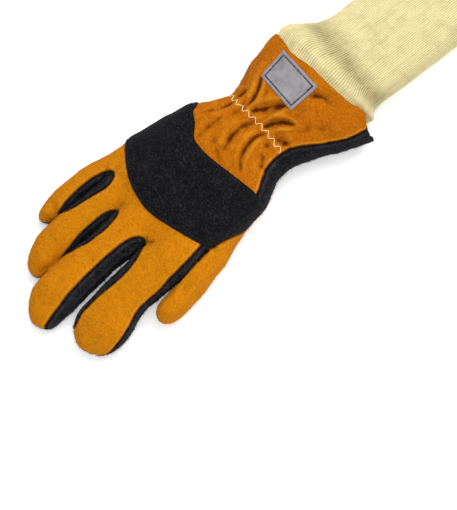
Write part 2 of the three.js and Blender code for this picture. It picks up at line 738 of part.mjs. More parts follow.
function labelLine() {
  const half = labelWidth / 2;
  const front = -labelBehindWrist + labelLength / 2;
  const back = -labelBehindWrist - labelLength / 2;
  return [
    [labelSide - half, front],
    [labelSide - half, back],
    [labelSide + half + labelFlare, back + labelFlare / 2],
    [labelSide + half, front + labelFlare / 3],
  ];
}

function hemZone(gap) {
  const front = -gauntletLength + hemDepth + gap;
  const side = gauntletWidth;
  return planPrism([
    [-side, front - side * gauntletSlantShare],
    [-side, -2 * gauntletLength],
    [side, -2 * gauntletLength],
    [side, front + side * gauntletSlantShare],
  ], -cutSlack, 2 * gauntletHeight);
}

function wristletRings(inset, run) {
  return wristletSections.map((row, index) => {
    const end = index === wristletSections.length - 1 ? run : 0;
    const start = index === 0 ? run : 0;
    return sectionRing({
      y: -gauntletLength - row.along * wristletRun - end + start,
      middle: row.side * wristletWidth,
      half: THREE.MathUtils.lerp(wristletWidth, gauntletWidth, row.wide) / 2 - inset,
      under: row.under * wristletHeight - restFlat + inset,
      top: THREE.MathUtils.lerp(wristletHeight, gauntletHeight, row.top) - inset,
      squareness: fingerSquareness,
      sides: wristletSides,
      slant: row.along < 0.15 ? gauntletSlantShare : 0,
    });
  });
}

function wristletSolid() {
  const outer = aboveFloor(loftTube(wristletRings(0, 0)), 0);
  const inner = aboveFloor(loftTube(wristletRings(knitWall, hollowRun)), knitWall);
  const cuffOuter = loftTube(bodyRings(-wristletClearance, wristletClearance));
  const cuffWall = leatherWall + wristletClearance;
  const cuffInner = aboveFloor(loftTube(bodyRings(cuffWall, hollowRun)), cuffWall);
  return outer.subtract(inner).subtract(cuffOuter.subtract(cuffInner));
}

// Cut the zones out of the shell one after another, with a gap at each seam
function takePiece(rest, zone) {
  return [rest.intersect(zone(0)), rest.subtract(zone(seamGap))];
}

const pieces = {};
const [thumbLeather, handLeather] = takePiece(gloveShell, thumbZone);
[pieces.thumb_front, pieces.thumb_back] = takePiece(thumbLeather, thumbFrontZone);
const [palmLeather, backLeather] = takePiece(handLeather, palmZone);

let backRest = backLeather;
fingerSlots.forEach((slot) => {
  [pieces[slot.name], backRest] = takePiece(backRest, (gap) => fourchetteZone(slot, gap));
});
pieces.back_panel = backRest;

let palmRest = palmLeather;
fingerFronts.forEach(({ name, finger, sections, seamLine }) => {
  [pieces[name], palmRest] = takePiece(palmRest, (gap) => frontZone(finger, sections, seamLine, gap));
});
[pieces.cuff_band, pieces.palm_panel] = takePiece(palmRest, hemZone);

pieces.knuckle_band = layerOn([...bandLine(bandUpperEdge), ...bandLine(bandLowerEdge)], bandDrop, bandThickness);
pieces.label = layerOn(labelLine(), gauntletHeight / 2, labelThickness);
pieces.wristlet = wristletSolid();

const suedeOrange = { color: 0xd08010, roughness: 0.95, metalness: 0 };
const suedeBlack = { color: 0x202226, roughness: 0.95, metalness: 0 };
const feltBlack = { color: 0x2b2c2f, roughness: 0.98, metalness: 0 };
const satinGrey = { color: 0xa9a5ae, roughness: 0.5, metalness: 0 };
const knitCream = { color: 0xeee3a8, roughness: 0.95, metalness: 0 };

const finishes = {
  back_panel: suedeOrange,
  palm_panel: suedeBlack,
  middle_front: suedeBlack,
  ring_front: suedeBlack,
  fourchette_index_middle: suedeBlack,
  fourchette_middle_ring: suedeBlack,
  fourchette_ring_little: suedeBlack,
  thumb_back: suedeOrange,
  thumb_front: suedeBlack,
  knuckle_band: feltBlack,
  cuff_band: suedeBlack,
  label: satinGrey,
  wristlet: knitCream,
};

const glove = new THREE.Group();
Object.entries(finishes).forEach(([name, finish]) => {
  const geometry = toGeometry(biggestPart(pieces[name]));
  const mesh = new THREE.Mesh(geometry, new THREE.MeshStandardMaterial(finish));
  mesh.name = name;
  glove.add(mesh);
});

export default glove;
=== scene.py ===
import math

import bmesh
import bpy
import numpy as np
from mathutils import Matrix, Vector, noise
from mathutils.bvhtree import BVHTree
from mathutils.kdtree import KDTree


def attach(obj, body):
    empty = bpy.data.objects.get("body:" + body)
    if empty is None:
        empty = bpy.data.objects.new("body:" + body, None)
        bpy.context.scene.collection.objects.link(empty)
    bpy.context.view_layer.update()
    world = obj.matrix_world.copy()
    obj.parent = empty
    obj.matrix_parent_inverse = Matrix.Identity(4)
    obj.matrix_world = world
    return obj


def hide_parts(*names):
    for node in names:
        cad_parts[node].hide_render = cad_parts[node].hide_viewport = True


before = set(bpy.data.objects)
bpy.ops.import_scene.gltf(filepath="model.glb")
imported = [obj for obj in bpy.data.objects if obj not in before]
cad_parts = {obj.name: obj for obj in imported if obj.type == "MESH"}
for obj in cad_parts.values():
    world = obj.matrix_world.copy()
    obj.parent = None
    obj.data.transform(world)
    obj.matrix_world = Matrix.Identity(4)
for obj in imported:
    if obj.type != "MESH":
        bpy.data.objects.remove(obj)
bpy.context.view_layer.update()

mm = 0.001

# Sizes of the glove in millimetres
palmLength = 102
palmWidth = 103
palmHeight = 42
wristWidth = 68
wristHeight = 38.5
gauntletLength = 57
gauntletWidth = 105
gauntletHeight = 47
gauntletSlant = 0.15
restFlat = 1.2
fingerRoot = 60
wristletRun = 111
wristletWidth = 71.6
wristletHeight = 35.5
bodySquareness = 2.5
fingerSquareness = 2.25
leatherThickness = 1.9
voxel = 0.88

# Columns: along, side, wide, top, under, as shares of the sizes above
gauntletRows = np.array([
    [1, -0.06, 1, 1, 0], [0.86, -0.055, 0.93, 0.92, 0], [0.7, -0.045, 0.79, 0.78, 0],
    [0.56, -0.03, 0.65, 0.66, 0], [0.43, -0.01, 0.51, 0.55, 0], [0.31, 0, 0.34, 0.42, 0],
    [0.2, 0, 0.2, 0.3, 0], [0.1, 0, 0.07, 0.12, 0],
])
palmRows = np.array([
    [0, 0, 0, 0.917, 0], [0.12, 0.01, 0.11, 0.955, 0], [0.19, 0.012, 0.32, 0.975, 0],
    [0.29, 0.01, 0.65, 1, 0], [0.4, 0.004, 0.8, 1.01, 0], [0.52, 0.004, 0.9, 1, 0],
    [0.74, 0.026, 0.96, 0.965, 0], [0.84, 0.038, 0.91, 0.94, 0],
    [0.93, 0.034, 0.95, 0.89, 0.02], [1, 0.03, 0.93, 0.79, 0.09], [1.045, 0.025, 0.8, 0.67, 0.17],
    [1.08, 0.01, 0.6, 0.5, 0.27],
])
indexFinger = {"root": -32, "length": 134.5, "width": 40, "height": 36, "rows": np.array([
    [0, 0.1, 0.9, 0.99, 0.12], [0.33, 0.01, 0.91, 0.96, 0.09], [0.48, -0.005, 0.91, 0.89, 0.14],
    [0.62, -0.035, 0.865, 0.82, 0.17], [0.74, -0.12, 0.98, 0.77, 0.11], [0.83, -0.17, 1, 0.7, 0.05],
    [0.9, -0.175, 0.91, 0.63, 0.015], [0.945, -0.18, 0.75, 0.56, 0.03], [0.98, -0.185, 0.48, 0.46, 0.1],
    [1, -0.185, 0.16, 0.35, 0.2],
])}
middleFinger = {"root": 1, "length": 150.5, "width": 33.6, "height": 38, "rows": np.array([
    [0, 0.03, 1.04, 0.98, 0.1], [0.3, 0.018, 1, 0.95, 0.08], [0.43, 0, 0.98, 0.88, 0.13],
    [0.565, -0.006, 0.89, 0.82, 0.18], [0.665, -0.027, 0.93, 0.78, 0.16], [0.765, -0.03, 1, 0.74, 0.1],
    [0.865, -0.062, 0.98, 0.66, 0.02], [0.917, -0.095, 0.9, 0.58, 0.01], [0.957, -0.155, 0.72, 0.49, 0.03],
    [0.985, -0.17, 0.43, 0.4, 0.1], [1, -0.175, 0.15, 0.3, 0.18],
])}
ringFinger = {"root": 30.5, "length": 130.6, "width": 24.6, "height": 35, "rows": np.array([
    [0, -0.1, 1.1, 0.98, 0.12], [0.345, -0.03, 1.07, 0.95, 0.09], [0.46, 0, 1.07, 0.88, 0.14],
    [0.61, 0.008, 0.975, 0.81, 0.2], [0.73, 0.008, 0.975, 0.77, 0.15], [0.87, -0.045, 0.94, 0.67, 0.03],
    [0.92, -0.1, 0.83, 0.61, 0.015], [0.965, -0.18, 0.66, 0.51, 0.04], [0.988, -0.22, 0.43, 0.42, 0.12],
    [1, -0.24, 0.16, 0.32, 0.2],
])}
littleFinger = {"root": 50, "length": 102.4, "width": 17, "height": 28, "rows": np.array([
    [0, -0.48, 0.97, 1, 0.14], [0.39, -0.1, 1.03, 0.97, 0.11], [0.53, 0.035, 1.02, 0.93, 0.15],
    [0.68, 0.094, 0.94, 0.88, 0.18], [0.83, 0.065, 0.89, 0.82, 0.13], [0.91, 0.06, 0.78, 0.73, 0.03],
    [0.96, 0.075, 0.6, 0.61, 0.04], [0.987, 0.09, 0.37, 0.48, 0.14], [1, 0.09, 0.14, 0.36, 0.22],
])}
thumbDigit = {"start": 30, "root": -27, "length": 109.3, "width": 19, "reach": 32, "height": 26.5,
              "rows": np.array([
    [0, 0.1, 1.25, 0.84, 0.12], [0.13, -0.14, 1.4, 0.98, 0.08], [0.25, -0.34, 1.3, 1.02, 0.04],
    [0.35, -0.5, 1.1, 1.02, 0.015], [0.46, -0.69, 1, 1, 0.01], [0.6, -0.83, 0.97, 0.97, 0.02],
    [0.73, -0.95, 0.97, 0.94, 0.04], [0.85, -1.02, 0.96, 0.9, 0.03], [0.925, -1.03, 0.86, 0.83, 0.03],
    [0.97, -1.04, 0.64, 0.7, 0.1], [0.992, -1.045, 0.37, 0.57, 0.2], [1, -1.045, 0.15, 0.46, 0.28],
])}
wristletRows = np.array([
    [-0.06, -0.03, 0.7, 0.62, 0.085], [-0.01, -0.03, 0.74, 0.66, 0.075], [0.035, -0.02, 0.84, 0.8, 0.03],
    [0.075, -0.01, 0.72, 0.74, 0], [0.12, 0, 0.4, 0.44, 0], [0.18, -0.003, 0.12, 0.18, 0],
    [0.26, -0.008, 0, 0.04, 0], [0.45, -0.012, -0.02, -0.04, 0], [0.82, -0.014, -0.01, -0.08, 0],
    [1, -0.01, 0, -0.08, 0],
])

# Folds of the leather in plan: points from one end to the other, half width and depth, in millimetres
foldTable = [
    ([(15.6, 0), (17.6, -9), (21.5, -16), (27.5, -24)], 2.3, 2.2),
    ([(28, 0), (27, -4), (26.5, -9)], 3, 1.5),
    ([(18, 3), (20, -3), (23, -7)], 2, 1),
    ([(10.5, -3), (5, -11.5), (0.5, -19), (-4, -25)], 3.6, 3.8),
    ([(-4.6, -3), (-7.2, -9), (-11.5, -15), (-18, -20)], 2.6, 3.2),
    ([(-16.5, -3.5), (-21.6, -5.2), (-28, -8)], 3.8, 1.7),
    ([(-7, -39), (-14, -45.5), (-23, -49)], 5.5, 1.6),
    ([(26, 4), (28, 13), (34, 27)], 3.4, 1.7),
    ([(15, 2), (20, 12), (21, 26), (19.5, 40)], 3.6, 0.95),
    ([(3.5, 2), (6, 12), (4, 22), (-2, 32)], 3.6, 1.15),
    ([(-8, 1), (-6, 8), (-8.5, 18), (-13, 25), (-22, 32)], 2.4, 1.5),
    ([(-21, 11), (-25, 15), (-30, 17)], 3.6, 1.4),
    ([(8, 31), (-1, 35.5), (-8, 39)], 5, 0.9),
    ([(-15, 2), (-17.5, 9), (-19, 18)], 3.4, 0.5),
    ([(40, 103), (43, 95), (46, 85)], 3, 0.8),
    ([(44, 153), (49, 150), (55, 148)], 3.2, 1.1),
    ([(20, 105), (28, 101), (36, 97)], 4.5, 0.5),
    ([(-59, 120), (-56, 104), (-53, 88)], 2.6, 0.6),
    ([(-56, 114), (-53, 98), (-51, 82)], 2.4, 0.5),
    ([(-50, 80), (-47, 77), (-43, 76)], 2.4, 1.2),
    ([(-34, -36), (-27, -27), (-21, -17)], 5, 1.1),
    ([(34, -8), (38, -22), (40, -36)], 4, 0.9),
]

# Where the gauntlet's end lies before its straight line, by side, in millimetres
endLine = np.array([
    (-60, 3), (-51, 3.2), (-46, 1.5), (-43, 0.2), (-36, 0.4), (-31, 2.2), (-26, 2.8), (-11, 2.9), (4, 2.4),
    (12, 2.7), (18, 3.8), (27, 4.1), (36, 2), (43, 0.6), (60, 0),
])


def lerp(low, high, share):
    return low + (high - low) * share


def eased(value):
    share = np.clip(value, 0, 1)
    return share * share * (3 - 2 * share)


# Rows of sections made finer along smooth curves; y is the first column
def finer(rows, step):
    slope = np.gradient(rows, rows[:, 0], axis=0)
    fine = []
    for low in range(len(rows) - 1):
        span = rows[low + 1, 0] - rows[low, 0]
        count = max(2, int(math.ceil(span / step)))
        share = (np.arange(count) / count)[:, None]
        fine.append(
            (2 * share ** 3 - 3 * share ** 2 + 1) * rows[low]
            + (share ** 3 - 2 * share ** 2 + share) * span * slope[low]
            + (3 * share ** 2 - 2 * share ** 3) * rows[low + 1]
            + (share ** 3 - share ** 2) * span * slope[low + 1]
        )
    fine.append(rows[-1:])
    return np.vstack(fine)


# Columns of a form: y, middle, half width, underside, top, slant
def bodyForm():
    along, side, wide, top, under = gauntletRows.T
    gauntlet = np.column_stack([
        -along * gauntletLength, side * wristWidth, lerp(wristWidth, gauntletWidth, wide) / 2,
        along * 0 - restFlat, lerp(wristHeight, gauntletHeight, top), gauntletSlant * along,
    ])
    along, side, wide, top, under = palmRows.T
    palm = np.column_stack([
        along * palmLength, side * palmWidth, lerp(wristWidth, palmWidth, wide) / 2,
        under * palmHeight - restFlat, top * palmHeight, along * 0,
    ])
    beyond = gauntlet[0] + [-8, -0.4, 1.4, 0, 0.6, 0]
    return np.vstack([beyond, gauntlet, palm])


# The thumb starts lower than the fingers and leans out by its own reach
def digitForm(digit):
    along, side, wide, top, under = digit["rows"].T
    return np.column_stack([
        digit.get("start", fingerRoot) + along * digit["length"],
        digit["root"] + side * digit.get("reach", digit["width"]),
        wide * digit["width"] / 2, under * digit["height"], top * digit["height"], along * 0,
    ])


def signedPower(value, exponent):
    return np.sign(value) * np.abs(value) ** exponent


# Points round a section at the given angles
def sectionAt(angle, middle, half, under, top, squareness):
    x = middle + half * signedPower(np.cos(angle), 2 / squareness)
    z = (top + under) / 2 + (top - under) / 2 * signedPower(np.sin(angle), 2 / squareness)
    return x, z


# Quads of a grid of points, row by row; in a closed one the last column meets the first
def gridQuads(rows, columns, closed):
    start = np.arange(rows - 1)[:, None] * columns + np.arange(columns if closed else columns - 1)
    after = start + 1
    if closed:
        after[:, -1] -= columns
    return np.stack([start, after, after + columns, start + columns], axis=2).reshape(-1, 4)


# A closed tube through the sections, as points and faces
def loft(rows, squareness, sides):
    angle = 2 * np.pi * np.arange(sides) / sides
    y, middle, half, under, top, slant = (column[:, None] for column in rows.T)
    x, z = sectionAt(angle, middle, half, under, top, squareness)
    points = np.stack([x, y + slant * x, z], axis=2).reshape(-1, 3)
    faces = gridQuads(len(rows), sides, True).tolist()
    last = (len(rows) - 1) * sides
    faces.append(tuple(range(sides - 1, -1, -1)))
    faces.append(tuple(range(last, last + sides)))
    return points, faces


step = 1.5
ringSides = 128
body = finer(bodyForm(), step)
thumb = finer(digitForm(thumbDigit), step)
fingers = [finer(digitForm(digit), step) for digit in (indexFinger, middleFinger, ringFinger, littleFinger)]

# How neighbours part: the crotches along y, the wider slot beside the forefinger, and the stretch low
# down where the middle and the ring finger lie together
partingLook = {
    "crotches": [111, 113, 99.5], "gap": 2 * voxel + 0.3, "open": 14, "run": 9,
    "slotFrom": 124, "slotGap": 2.4,
    "touchFrom": 122, "touchTo": 160, "touchBelow": 22, "touchRun": 8, "draw": 2.2,
}
webLook = {"share": 0.42, "ease": 12, "run": 8}  # where the thumb's web ends and how it eases out


# Half the gap kept open between neighbours, from a crotch to the fingertips
def parting(points, side, here, neighbour, slot):
    look = partingLook
    y, gap, crotch = points[:, 1], look["gap"], look["crotches"][slot]
    if slot == 0:
        gap = gap + look["slotGap"] * eased((y - look["slotFrom"]) / look["run"])
    middle, half = (np.interp(y, here[:, 0], here[:, column]) for column in (1, 2))
    own = middle + side * half
    if slot == 1:
        facing = eased((side * (points[:, 0] - middle) / half - 0.2) / 0.5)
        near = eased((y - look["touchFrom"]) / look["touchRun"])
        near *= eased((look["touchTo"] - y) / look["touchRun"])
        near *= eased((look["touchBelow"] - points[:, 2]) / look["touchRun"])
        points[:, 0] += side * look["draw"] * facing * near
    other = np.interp(y, neighbour[:, 0], neighbour[:, 1] - side * neighbour[:, 2])
    line = (own + other) / 2 - side * gap / 2
    reach = np.where(y < crotch, 99, look["open"] * (1 - eased((y - crotch) / look["run"])))
    limit = line + side * reach
    clipped = np.minimum(points[:, 0], limit) if side > 0 else np.maximum(points[:, 0], limit)
    points[:, 0] = np.where(y < neighbour[-1, 0], clipped, points[:, 0])


# The hand and the forefinger kept clear of the thumb beyond its web
def clearThumb(points, gap):
    webLine = thumbDigit["start"] + webLook["share"] * thumbDigit["length"]
    y, x, z = points[:, 1], points[:, 0], points[:, 2]
    middle, half, under, top = (np.interp(y, thumb[:, 0], thumb[:, column]) for column in (1, 2, 3, 4))
    high = (top - under) / 2 + gap
    level = np.clip(np.abs(z - (top + under) / 2) / high, 0, 1)
    wide = (half + gap) * (1 - level ** fingerSquareness) ** (1 / fingerSquareness)
    edge = middle + wide - webLook["ease"] * (1 - eased((y - webLine) / webLook["run"]))
    inside = (y > webLine) & (y < thumb[-1, 0] + gap) & (level < 1) & (x < edge)
    points[:, 0] = np.where(inside, edge, x)


loftParts = [loft(body, bodySquareness, ringSides)]
for index, rows in enumerate(fingers):
    points, faces = loft(rows, fingerSquareness, ringSides)
    if index > 0:
        parting(points, -1, rows, fingers[index - 1], index - 1)
    if index < 3:
        parting(points, 1, rows, fingers[index + 1], index)
    loftParts.append((points, faces))
clearThumb(loftParts[0][0], partingLook["gap"])
clearThumb(loftParts[1][0], partingLook["gap"])
loftParts.append(loft(thumb, fingerSquareness, ringSides))
print("lofts", len(loftParts))


def placedObject(name, data):
    obj = bpy.data.objects.new(name, data)
    bpy.context.scene.collection.objects.link(obj)
    return obj


def meshObject(name, points, faces):
    mesh = bpy.data.meshes.new(name)
    mesh.from_pydata((np.asarray(points) * mm).tolist(), [], faces)
    mesh.update()
    return placedObject(name, mesh)


def evaluatedMesh(obj):
    return bpy.data.meshes.new_from_object(obj.evaluated_get(bpy.context.evaluated_depsgraph_get()))


# One skin from the lofts
def joinedSkin():
    points, faces, count = [], [], 0
    for partPoints, partFaces in loftParts:
        points.append(partPoints)
        faces += [tuple(corner + count for corner in face) for face in partFaces]
        count += len(partPoints)
    obj = meshObject("skin", np.vstack(points), faces)
    remesh = obj.modifiers.new("remesh", "REMESH")
    remesh.mode = "VOXEL"
    remesh.voxel_size = voxel * mm
    mesh = evaluatedMesh(obj)
    bpy.data.objects.remove(obj)
    return mesh


def meshArrays(mesh):
    mesh.calc_loop_triangles()
    points = np.empty(len(mesh.vertices) * 3)
    mesh.vertices.foreach_get("co", points)
    triangles = np.empty(len(mesh.loop_triangles) * 3, dtype=np.int32)
    mesh.loop_triangles.foreach_get("vertices", triangles)
    return points.reshape(-1, 3) / mm, triangles.reshape(-1, 3)


def sidePairs(triangles):
    pairs = np.vstack([triangles[:, [0, 1]], triangles[:, [1, 2]], triangles[:, [2, 0]]])
    return np.sort(pairs, axis=1)


# Each edge once, and how many triangles use it
def meshEdges(triangles):
    return np.unique(sidePairs(triangles), axis=0, return_counts=True)


# Sides that two triangles share, and those two triangles
def sharedSides(triangles):
    pairs = sidePairs(triangles)
    owner = np.tile(np.arange(len(triangles)), 3)
    order = np.lexsort((pairs[:, 1], pairs[:, 0]))
    pairs, owner = pairs[order], owner[order]
    same = np.all(pairs[1:] == pairs[:-1], axis=1)
    return pairs[1:][same], owner[:-1][same], owner[1:][same]


# Mean of each point's neighbours
def spread(edges, values, count):
    total = np.zeros((count, values.shape[1]))
    for column in range(values.shape[1]):
        total[:, column] = np.bincount(edges[:, 0], values[edges[:, 1], column], count)
        total[:, column] += np.bincount(edges[:, 1], values[edges[:, 0], column], count)
    degree = np.bincount(edges.ravel(), minlength=count)[:, None]
    return total / np.maximum(degree, 1)


# Points drawn toward their neighbours, by a share that may differ from point to point
def relaxed(points, edges, share, rounds=1):
    for turn in range(rounds):
        points = points + share * (spread(edges, points, len(points)) - points)
    return points


# Smoothing that keeps the volume: a step in and a slightly longer step out
def smoothed(points, edges, rounds):
    for turn in range(rounds):
        points = relaxed(relaxed(points, edges, 0.55), edges, -0.57)
    return points


# Vectors along the triangles' normals, twice as long as their areas
def facings(points, triangles):
    a, b, c = (points[triangles[:, corner]] for corner in range(3))
    return np.cross(b - a, c - a)


def pointNormals(points, triangles):
    facing = facings(points, triangles)
    normal = np.zeros_like(points)
    for corner in range(3):
        for axis in range(3):
            normal[:, axis] += np.bincount(triangles[:, corner], facing[:, axis], len(points))
    return normal / np.maximum(np.linalg.norm(normal, axis=1), 1e-9)[:, None]


def ownPart(points, triangles, chosen):
    kept = triangles[chosen]
    used = np.unique(kept)
    place = np.zeros(len(points), dtype=int)
    place[used] = np.arange(len(used))
    return points[used], place[kept], used


# Valleys between the finger roots filled, because the leather of the back bridges them
bridgeLook = {"from": 50, "to": np.array([(-14, 113), (17, 110), (40, 101)]), "above": 20, "beside": -38,
              "share": 0.6, "rounds": 220}


def bridged(points, triangles):
    look = bridgeLook
    x, y, z = points.T
    share = eased((y - look["from"]) / 10) * eased((np.interp(x, *look["to"].T) + 2 - y) / 7)
    share *= eased((z - look["above"]) / 6) * eased((x - look["beside"]) / 8)
    part, partFaces, used = ownPart(points, triangles, (share > 0)[triangles].any(axis=1))
    share = share[used]
    wide = relaxed(part, meshEdges(partFaces)[0], look["share"] * share[:, None], look["rounds"])
    normal = pointNormals(part, partFaces)
    rise = np.maximum(((wide - part) * normal).sum(axis=1), 0) * (share > 0)
    points = points.copy()
    points[used] = part + normal * rise[:, None]
    return points


skin, faces = meshArrays(joinedSkin())
edges = meshEdges(faces)[0]
skin = smoothed(skin, edges, 8)
for turn in range(2):
    skin = bridged(skin, faces)
skin = smoothed(skin, edges, 3)
print("skin", len(skin), len(faces))

# The corner beside the thumb, drawn in from the gauntlet's straight end, more so low down
cornerLook = {"from": -41, "run": 14, "draw": 6,
              "lowFrom": -33, "lowRun": 11, "lowDraw": 4, "lowBelow": 24, "lowEase": 12}


# The gauntlet's open end, cut along its own line
def endShift(points):
    x, z = points[:, 0], points[:, 2]
    look = cornerLook
    wave = np.interp(x, endLine[:, 0], endLine[:, 1]) * eased((z - 14) / 16)
    low = look["lowDraw"] * eased((look["lowBelow"] - z) / look["lowEase"])
    low *= eased((look["lowFrom"] - x) / look["lowRun"])
    corner = look["draw"] * eased((look["from"] - x) / look["run"]) + low
    return gauntletSlant * x + wave + corner


def cutEnd(points, triangles):
    straight = points.copy()
    straight[:, 1] -= endShift(points)
    work = bmesh.new()
    mesh = bpy.data.meshes.new("cut")
    mesh.from_pydata(straight.tolist(), [], triangles.tolist())
    work.from_mesh(mesh)
    bmesh.ops.bisect_plane(work, geom=work.verts[:] + work.edges[:] + work.faces[:], dist=0.05,
                           plane_co=(0, -gauntletLength, 0), plane_no=(0, 1, 0), clear_inner=True)
    bmesh.ops.triangulate(work, faces=work.faces[:])
    work.to_mesh(mesh)
    work.free()
    straight, triangles = meshArrays(mesh)
    straight = straight * mm
    straight[:, 1] += endShift(straight)
    return straight, triangles


skin, faces = cutEnd(skin, faces)
edges = meshEdges(faces)[0]


# Which node each face belongs to, with smooth seams between them
def nodeTree(name):
    points, triangles = meshArrays(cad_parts[name].data)
    return BVHTree.FromPolygons(points.tolist(), triangles.tolist()), points.min(axis=0), points.max(axis=0)


leatherNames = [
    "back_panel", "palm_panel", "middle_front", "ring_front", "fourchette_index_middle",
    "fourchette_middle_ring", "fourchette_ring_little", "thumb_back", "thumb_front", "cuff_band",
]
nodeReach = 6  # how far from a node's box its own faces may lie


def nearestNodes(centres):
    best = np.full(len(centres), 1e9)
    label = np.zeros(len(centres), dtype=int)
    for index, name in enumerate(leatherNames):
        tree, low, high = nodeTree(name)
        near = np.all((centres > low - nodeReach) & (centres < high + nodeReach), axis=1)
        for place in np.nonzero(near)[0]:
            distance = tree.find_nearest(centres[place])[3]
            if distance < best[place]:
                best[place] = distance
                label[place] = index
    return label


def smoothLabels(label, triangles, count, kinds, rounds):
    share = np.eye(kinds)[label]
    uses = np.bincount(triangles.ravel(), minlength=count)[:, None]
    for turn in range(rounds):
        held = np.zeros((count, kinds))
        for kind in range(kinds):
            for corner in range(3):
                held[:, kind] += np.bincount(triangles[:, corner], share[:, kind], count)
        held /= np.maximum(uses, 1)
        share = held[triangles].mean(axis=1)
    return share.argmax(axis=1)


# Single teeth along a seam go to the neighbour that holds two of their three sides
def withoutTeeth(label, triangles, rounds):
    first, second = sharedSides(triangles)[1:]
    own, beside = np.concatenate([first, second]), np.concatenate([second, first])
    for turn in range(rounds):
        votes = np.zeros((len(triangles), len(leatherNames)))
        np.add.at(votes, (own, label[beside]), 1)
        best = votes.argmax(axis=1)
        label = np.where(votes.max(axis=1) >= 2, best, label)
    return label


# Edge of the forefinger's back above the black strip: y and the place across, seen along the camera's lean
stripLook = {"edge": np.array([(76, -37.2), (82.7, -38.2), (92, -39.8), (104.3, -41.9), (116.2, -43.4),
                               (120, -43.9)]), "pivot": 6, "reach": 7, "above": 12}
lean = (0.259, 0.966)  # sine and cosine of the camera's lean from straight above


def straightStrip(label, centres):
    x, y, z = centres.T
    edge = stripLook["edge"]
    across = lean[1] * (x - stripLook["pivot"]) + lean[0] * z - np.interp(y, edge[:, 0], edge[:, 1])
    near = (y > edge[0, 0]) & (y < edge[-1, 0]) & (np.abs(across) < stripLook["reach"])
    near &= (z > stripLook["above"]) & (label < 2)
    return np.where(near, np.where(across > 0, 0, 1), label)


centres = skin[faces].mean(axis=1)
label = straightStrip(nearestNodes(centres), centres)
label = smoothLabels(label, faces, len(skin), len(leatherNames), 18)
label = withoutTeeth(label, faces, 6)
print("labels", np.bincount(label, minlength=len(leatherNames)).tolist())


def seamEdges(triangles, label):
    pairs, first, second = sharedSides(triangles)
    return pairs[label[first] != label[second]]


# One step of smoothing that stays within the skin
def slid(points, normal, lines, share):
    step = (spread(lines, points, len(points)) - points) * share
    step -= normal * (step * normal).sum(axis=1)[:, None]
    return points + step


# Lines moved onto smooth curves within the skin, and the points beside them evened out
def smoothLines(points, triangles, edges, lines, rounds):
    degree = np.bincount(lines.ravel(), minlength=len(points))
    normal = pointNormals(points, triangles)
    for turn in range(rounds):
        points = slid(points, normal, lines, 0.5 * (degree == 2)[:, None])
    near = degree > 0
    for turn in range(3):
        near[edges[near[edges[:, 0]], 1]] = True
        near[edges[near[edges[:, 1]], 0]] = True
    for turn in range(4):
        points = slid(points, normal, edges, 0.4 * (near & (degree == 0))[:, None])
    return points


seams = seamEdges(faces, label)
skin = smoothLines(skin, faces, edges, seams, 40)
print("seams", len(seams))


def distanceTo(points, lines, reach):
    ends = points[lines]
    marks = np.vstack([ends[:, 0], ends[:, 1], ends.mean(axis=1)])
    tree = KDTree(len(marks))
    for index, mark in enumerate(marks):
        tree.insert(mark, index)
    tree.balance()
    low, high = marks.min(axis=0) - reach, marks.max(axis=0) + reach
    away = np.full(len(points), float(reach))
    for place in np.nonzero(np.all((points > low) & (points < high), axis=1))[0]:
        away[place] = min(tree.find(points[place])[2], reach)
    return away


def noiseAt(points, size, seed):
    offset = Vector((seed * 17.3, seed * 5.1, seed * 9.7))
    return np.array([noise.noise(Vector(point) / size + offset) for point in points])


# A crease and the low ridges beside it: shares of the table's width and depth
creaseLook = {"breadth": 0.8, "depth": 1.12, "ridge": 0.42, "ridgeAt": 2.1,
              "uneven": 0.7, "patch": 6, "seed": 4}


def foldDepth(points):
    look = creaseLook
    depth = np.zeros(len(points))
    for line, wide, deep in foldTable:
        line = np.array(line, dtype=float)
        knots = np.linspace(0, 1, len(line))
        path = finer(np.column_stack([knots, line]), 1 / 27)[:, 1:]
        share = np.linspace(0, 1, len(path))
        low, high = path.min(axis=0) - 4 * wide, path.max(axis=0) + 4 * wide
        near = np.nonzero(np.all((points[:, :2] > low) & (points[:, :2] < high), axis=1))[0]
        gap = np.linalg.norm(points[near, None, :2] - path[None], axis=2)
        closest = gap.argmin(axis=1)
        away = gap[np.arange(len(near)), closest]
        ends = np.sin(np.pi * np.clip(0.08 + 0.92 * share[closest], 0, 1)) ** 0.7
        breadth = look["breadth"] * wide * (0.55 + 0.45 * ends)
        ridge = look["ridge"] * np.exp(-((away - look["ridgeAt"] * breadth) / breadth) ** 2)
        crease = np.exp(-(away / breadth) ** 1.6) - ridge
        uneven = 1 + look["uneven"] * noiseAt(points[near], look["patch"], look["seed"])
        depth[near] += look["depth"] * deep * ends * crease * uneven
    return depth


# Sizes of the zigzag and of the hem's straight stitches, and how deep both lie in the palm's leather
stitchLook = {
    "pitch": 7.0, "reach": 1.8, "radius": 0.27, "turns": 6, "fewest": 3,
    "channel": 0.5, "channelAt": -1.8, "channelReach": 3.8,
    "middle": -0.9, "lean": 3.4, "palmLean": 2.0, "centre": 18, "bareBeyond": -26, "bareAbove": 12,
}
hemLook = {"from": -41, "to": 46, "pitch": 4.2, "length": 3.0, "inset": 4.6, "radius": 0.3, "turns": 5,
           "channelReach": 1.3, "fewest": 6}

# Unevenness of the leather as size, depth and seed, and the grooves and ridges along its seams
leatherLook = {"uneven": [(17, 0.9, 1), (6.5, 0.45, 2)], "pucker": (5, 3), "groove": 0.75, "grooveReach": 0.9,
               "ridge": 0.3, "ridgeAt": 2.6, "ridgeReach": 1.4}

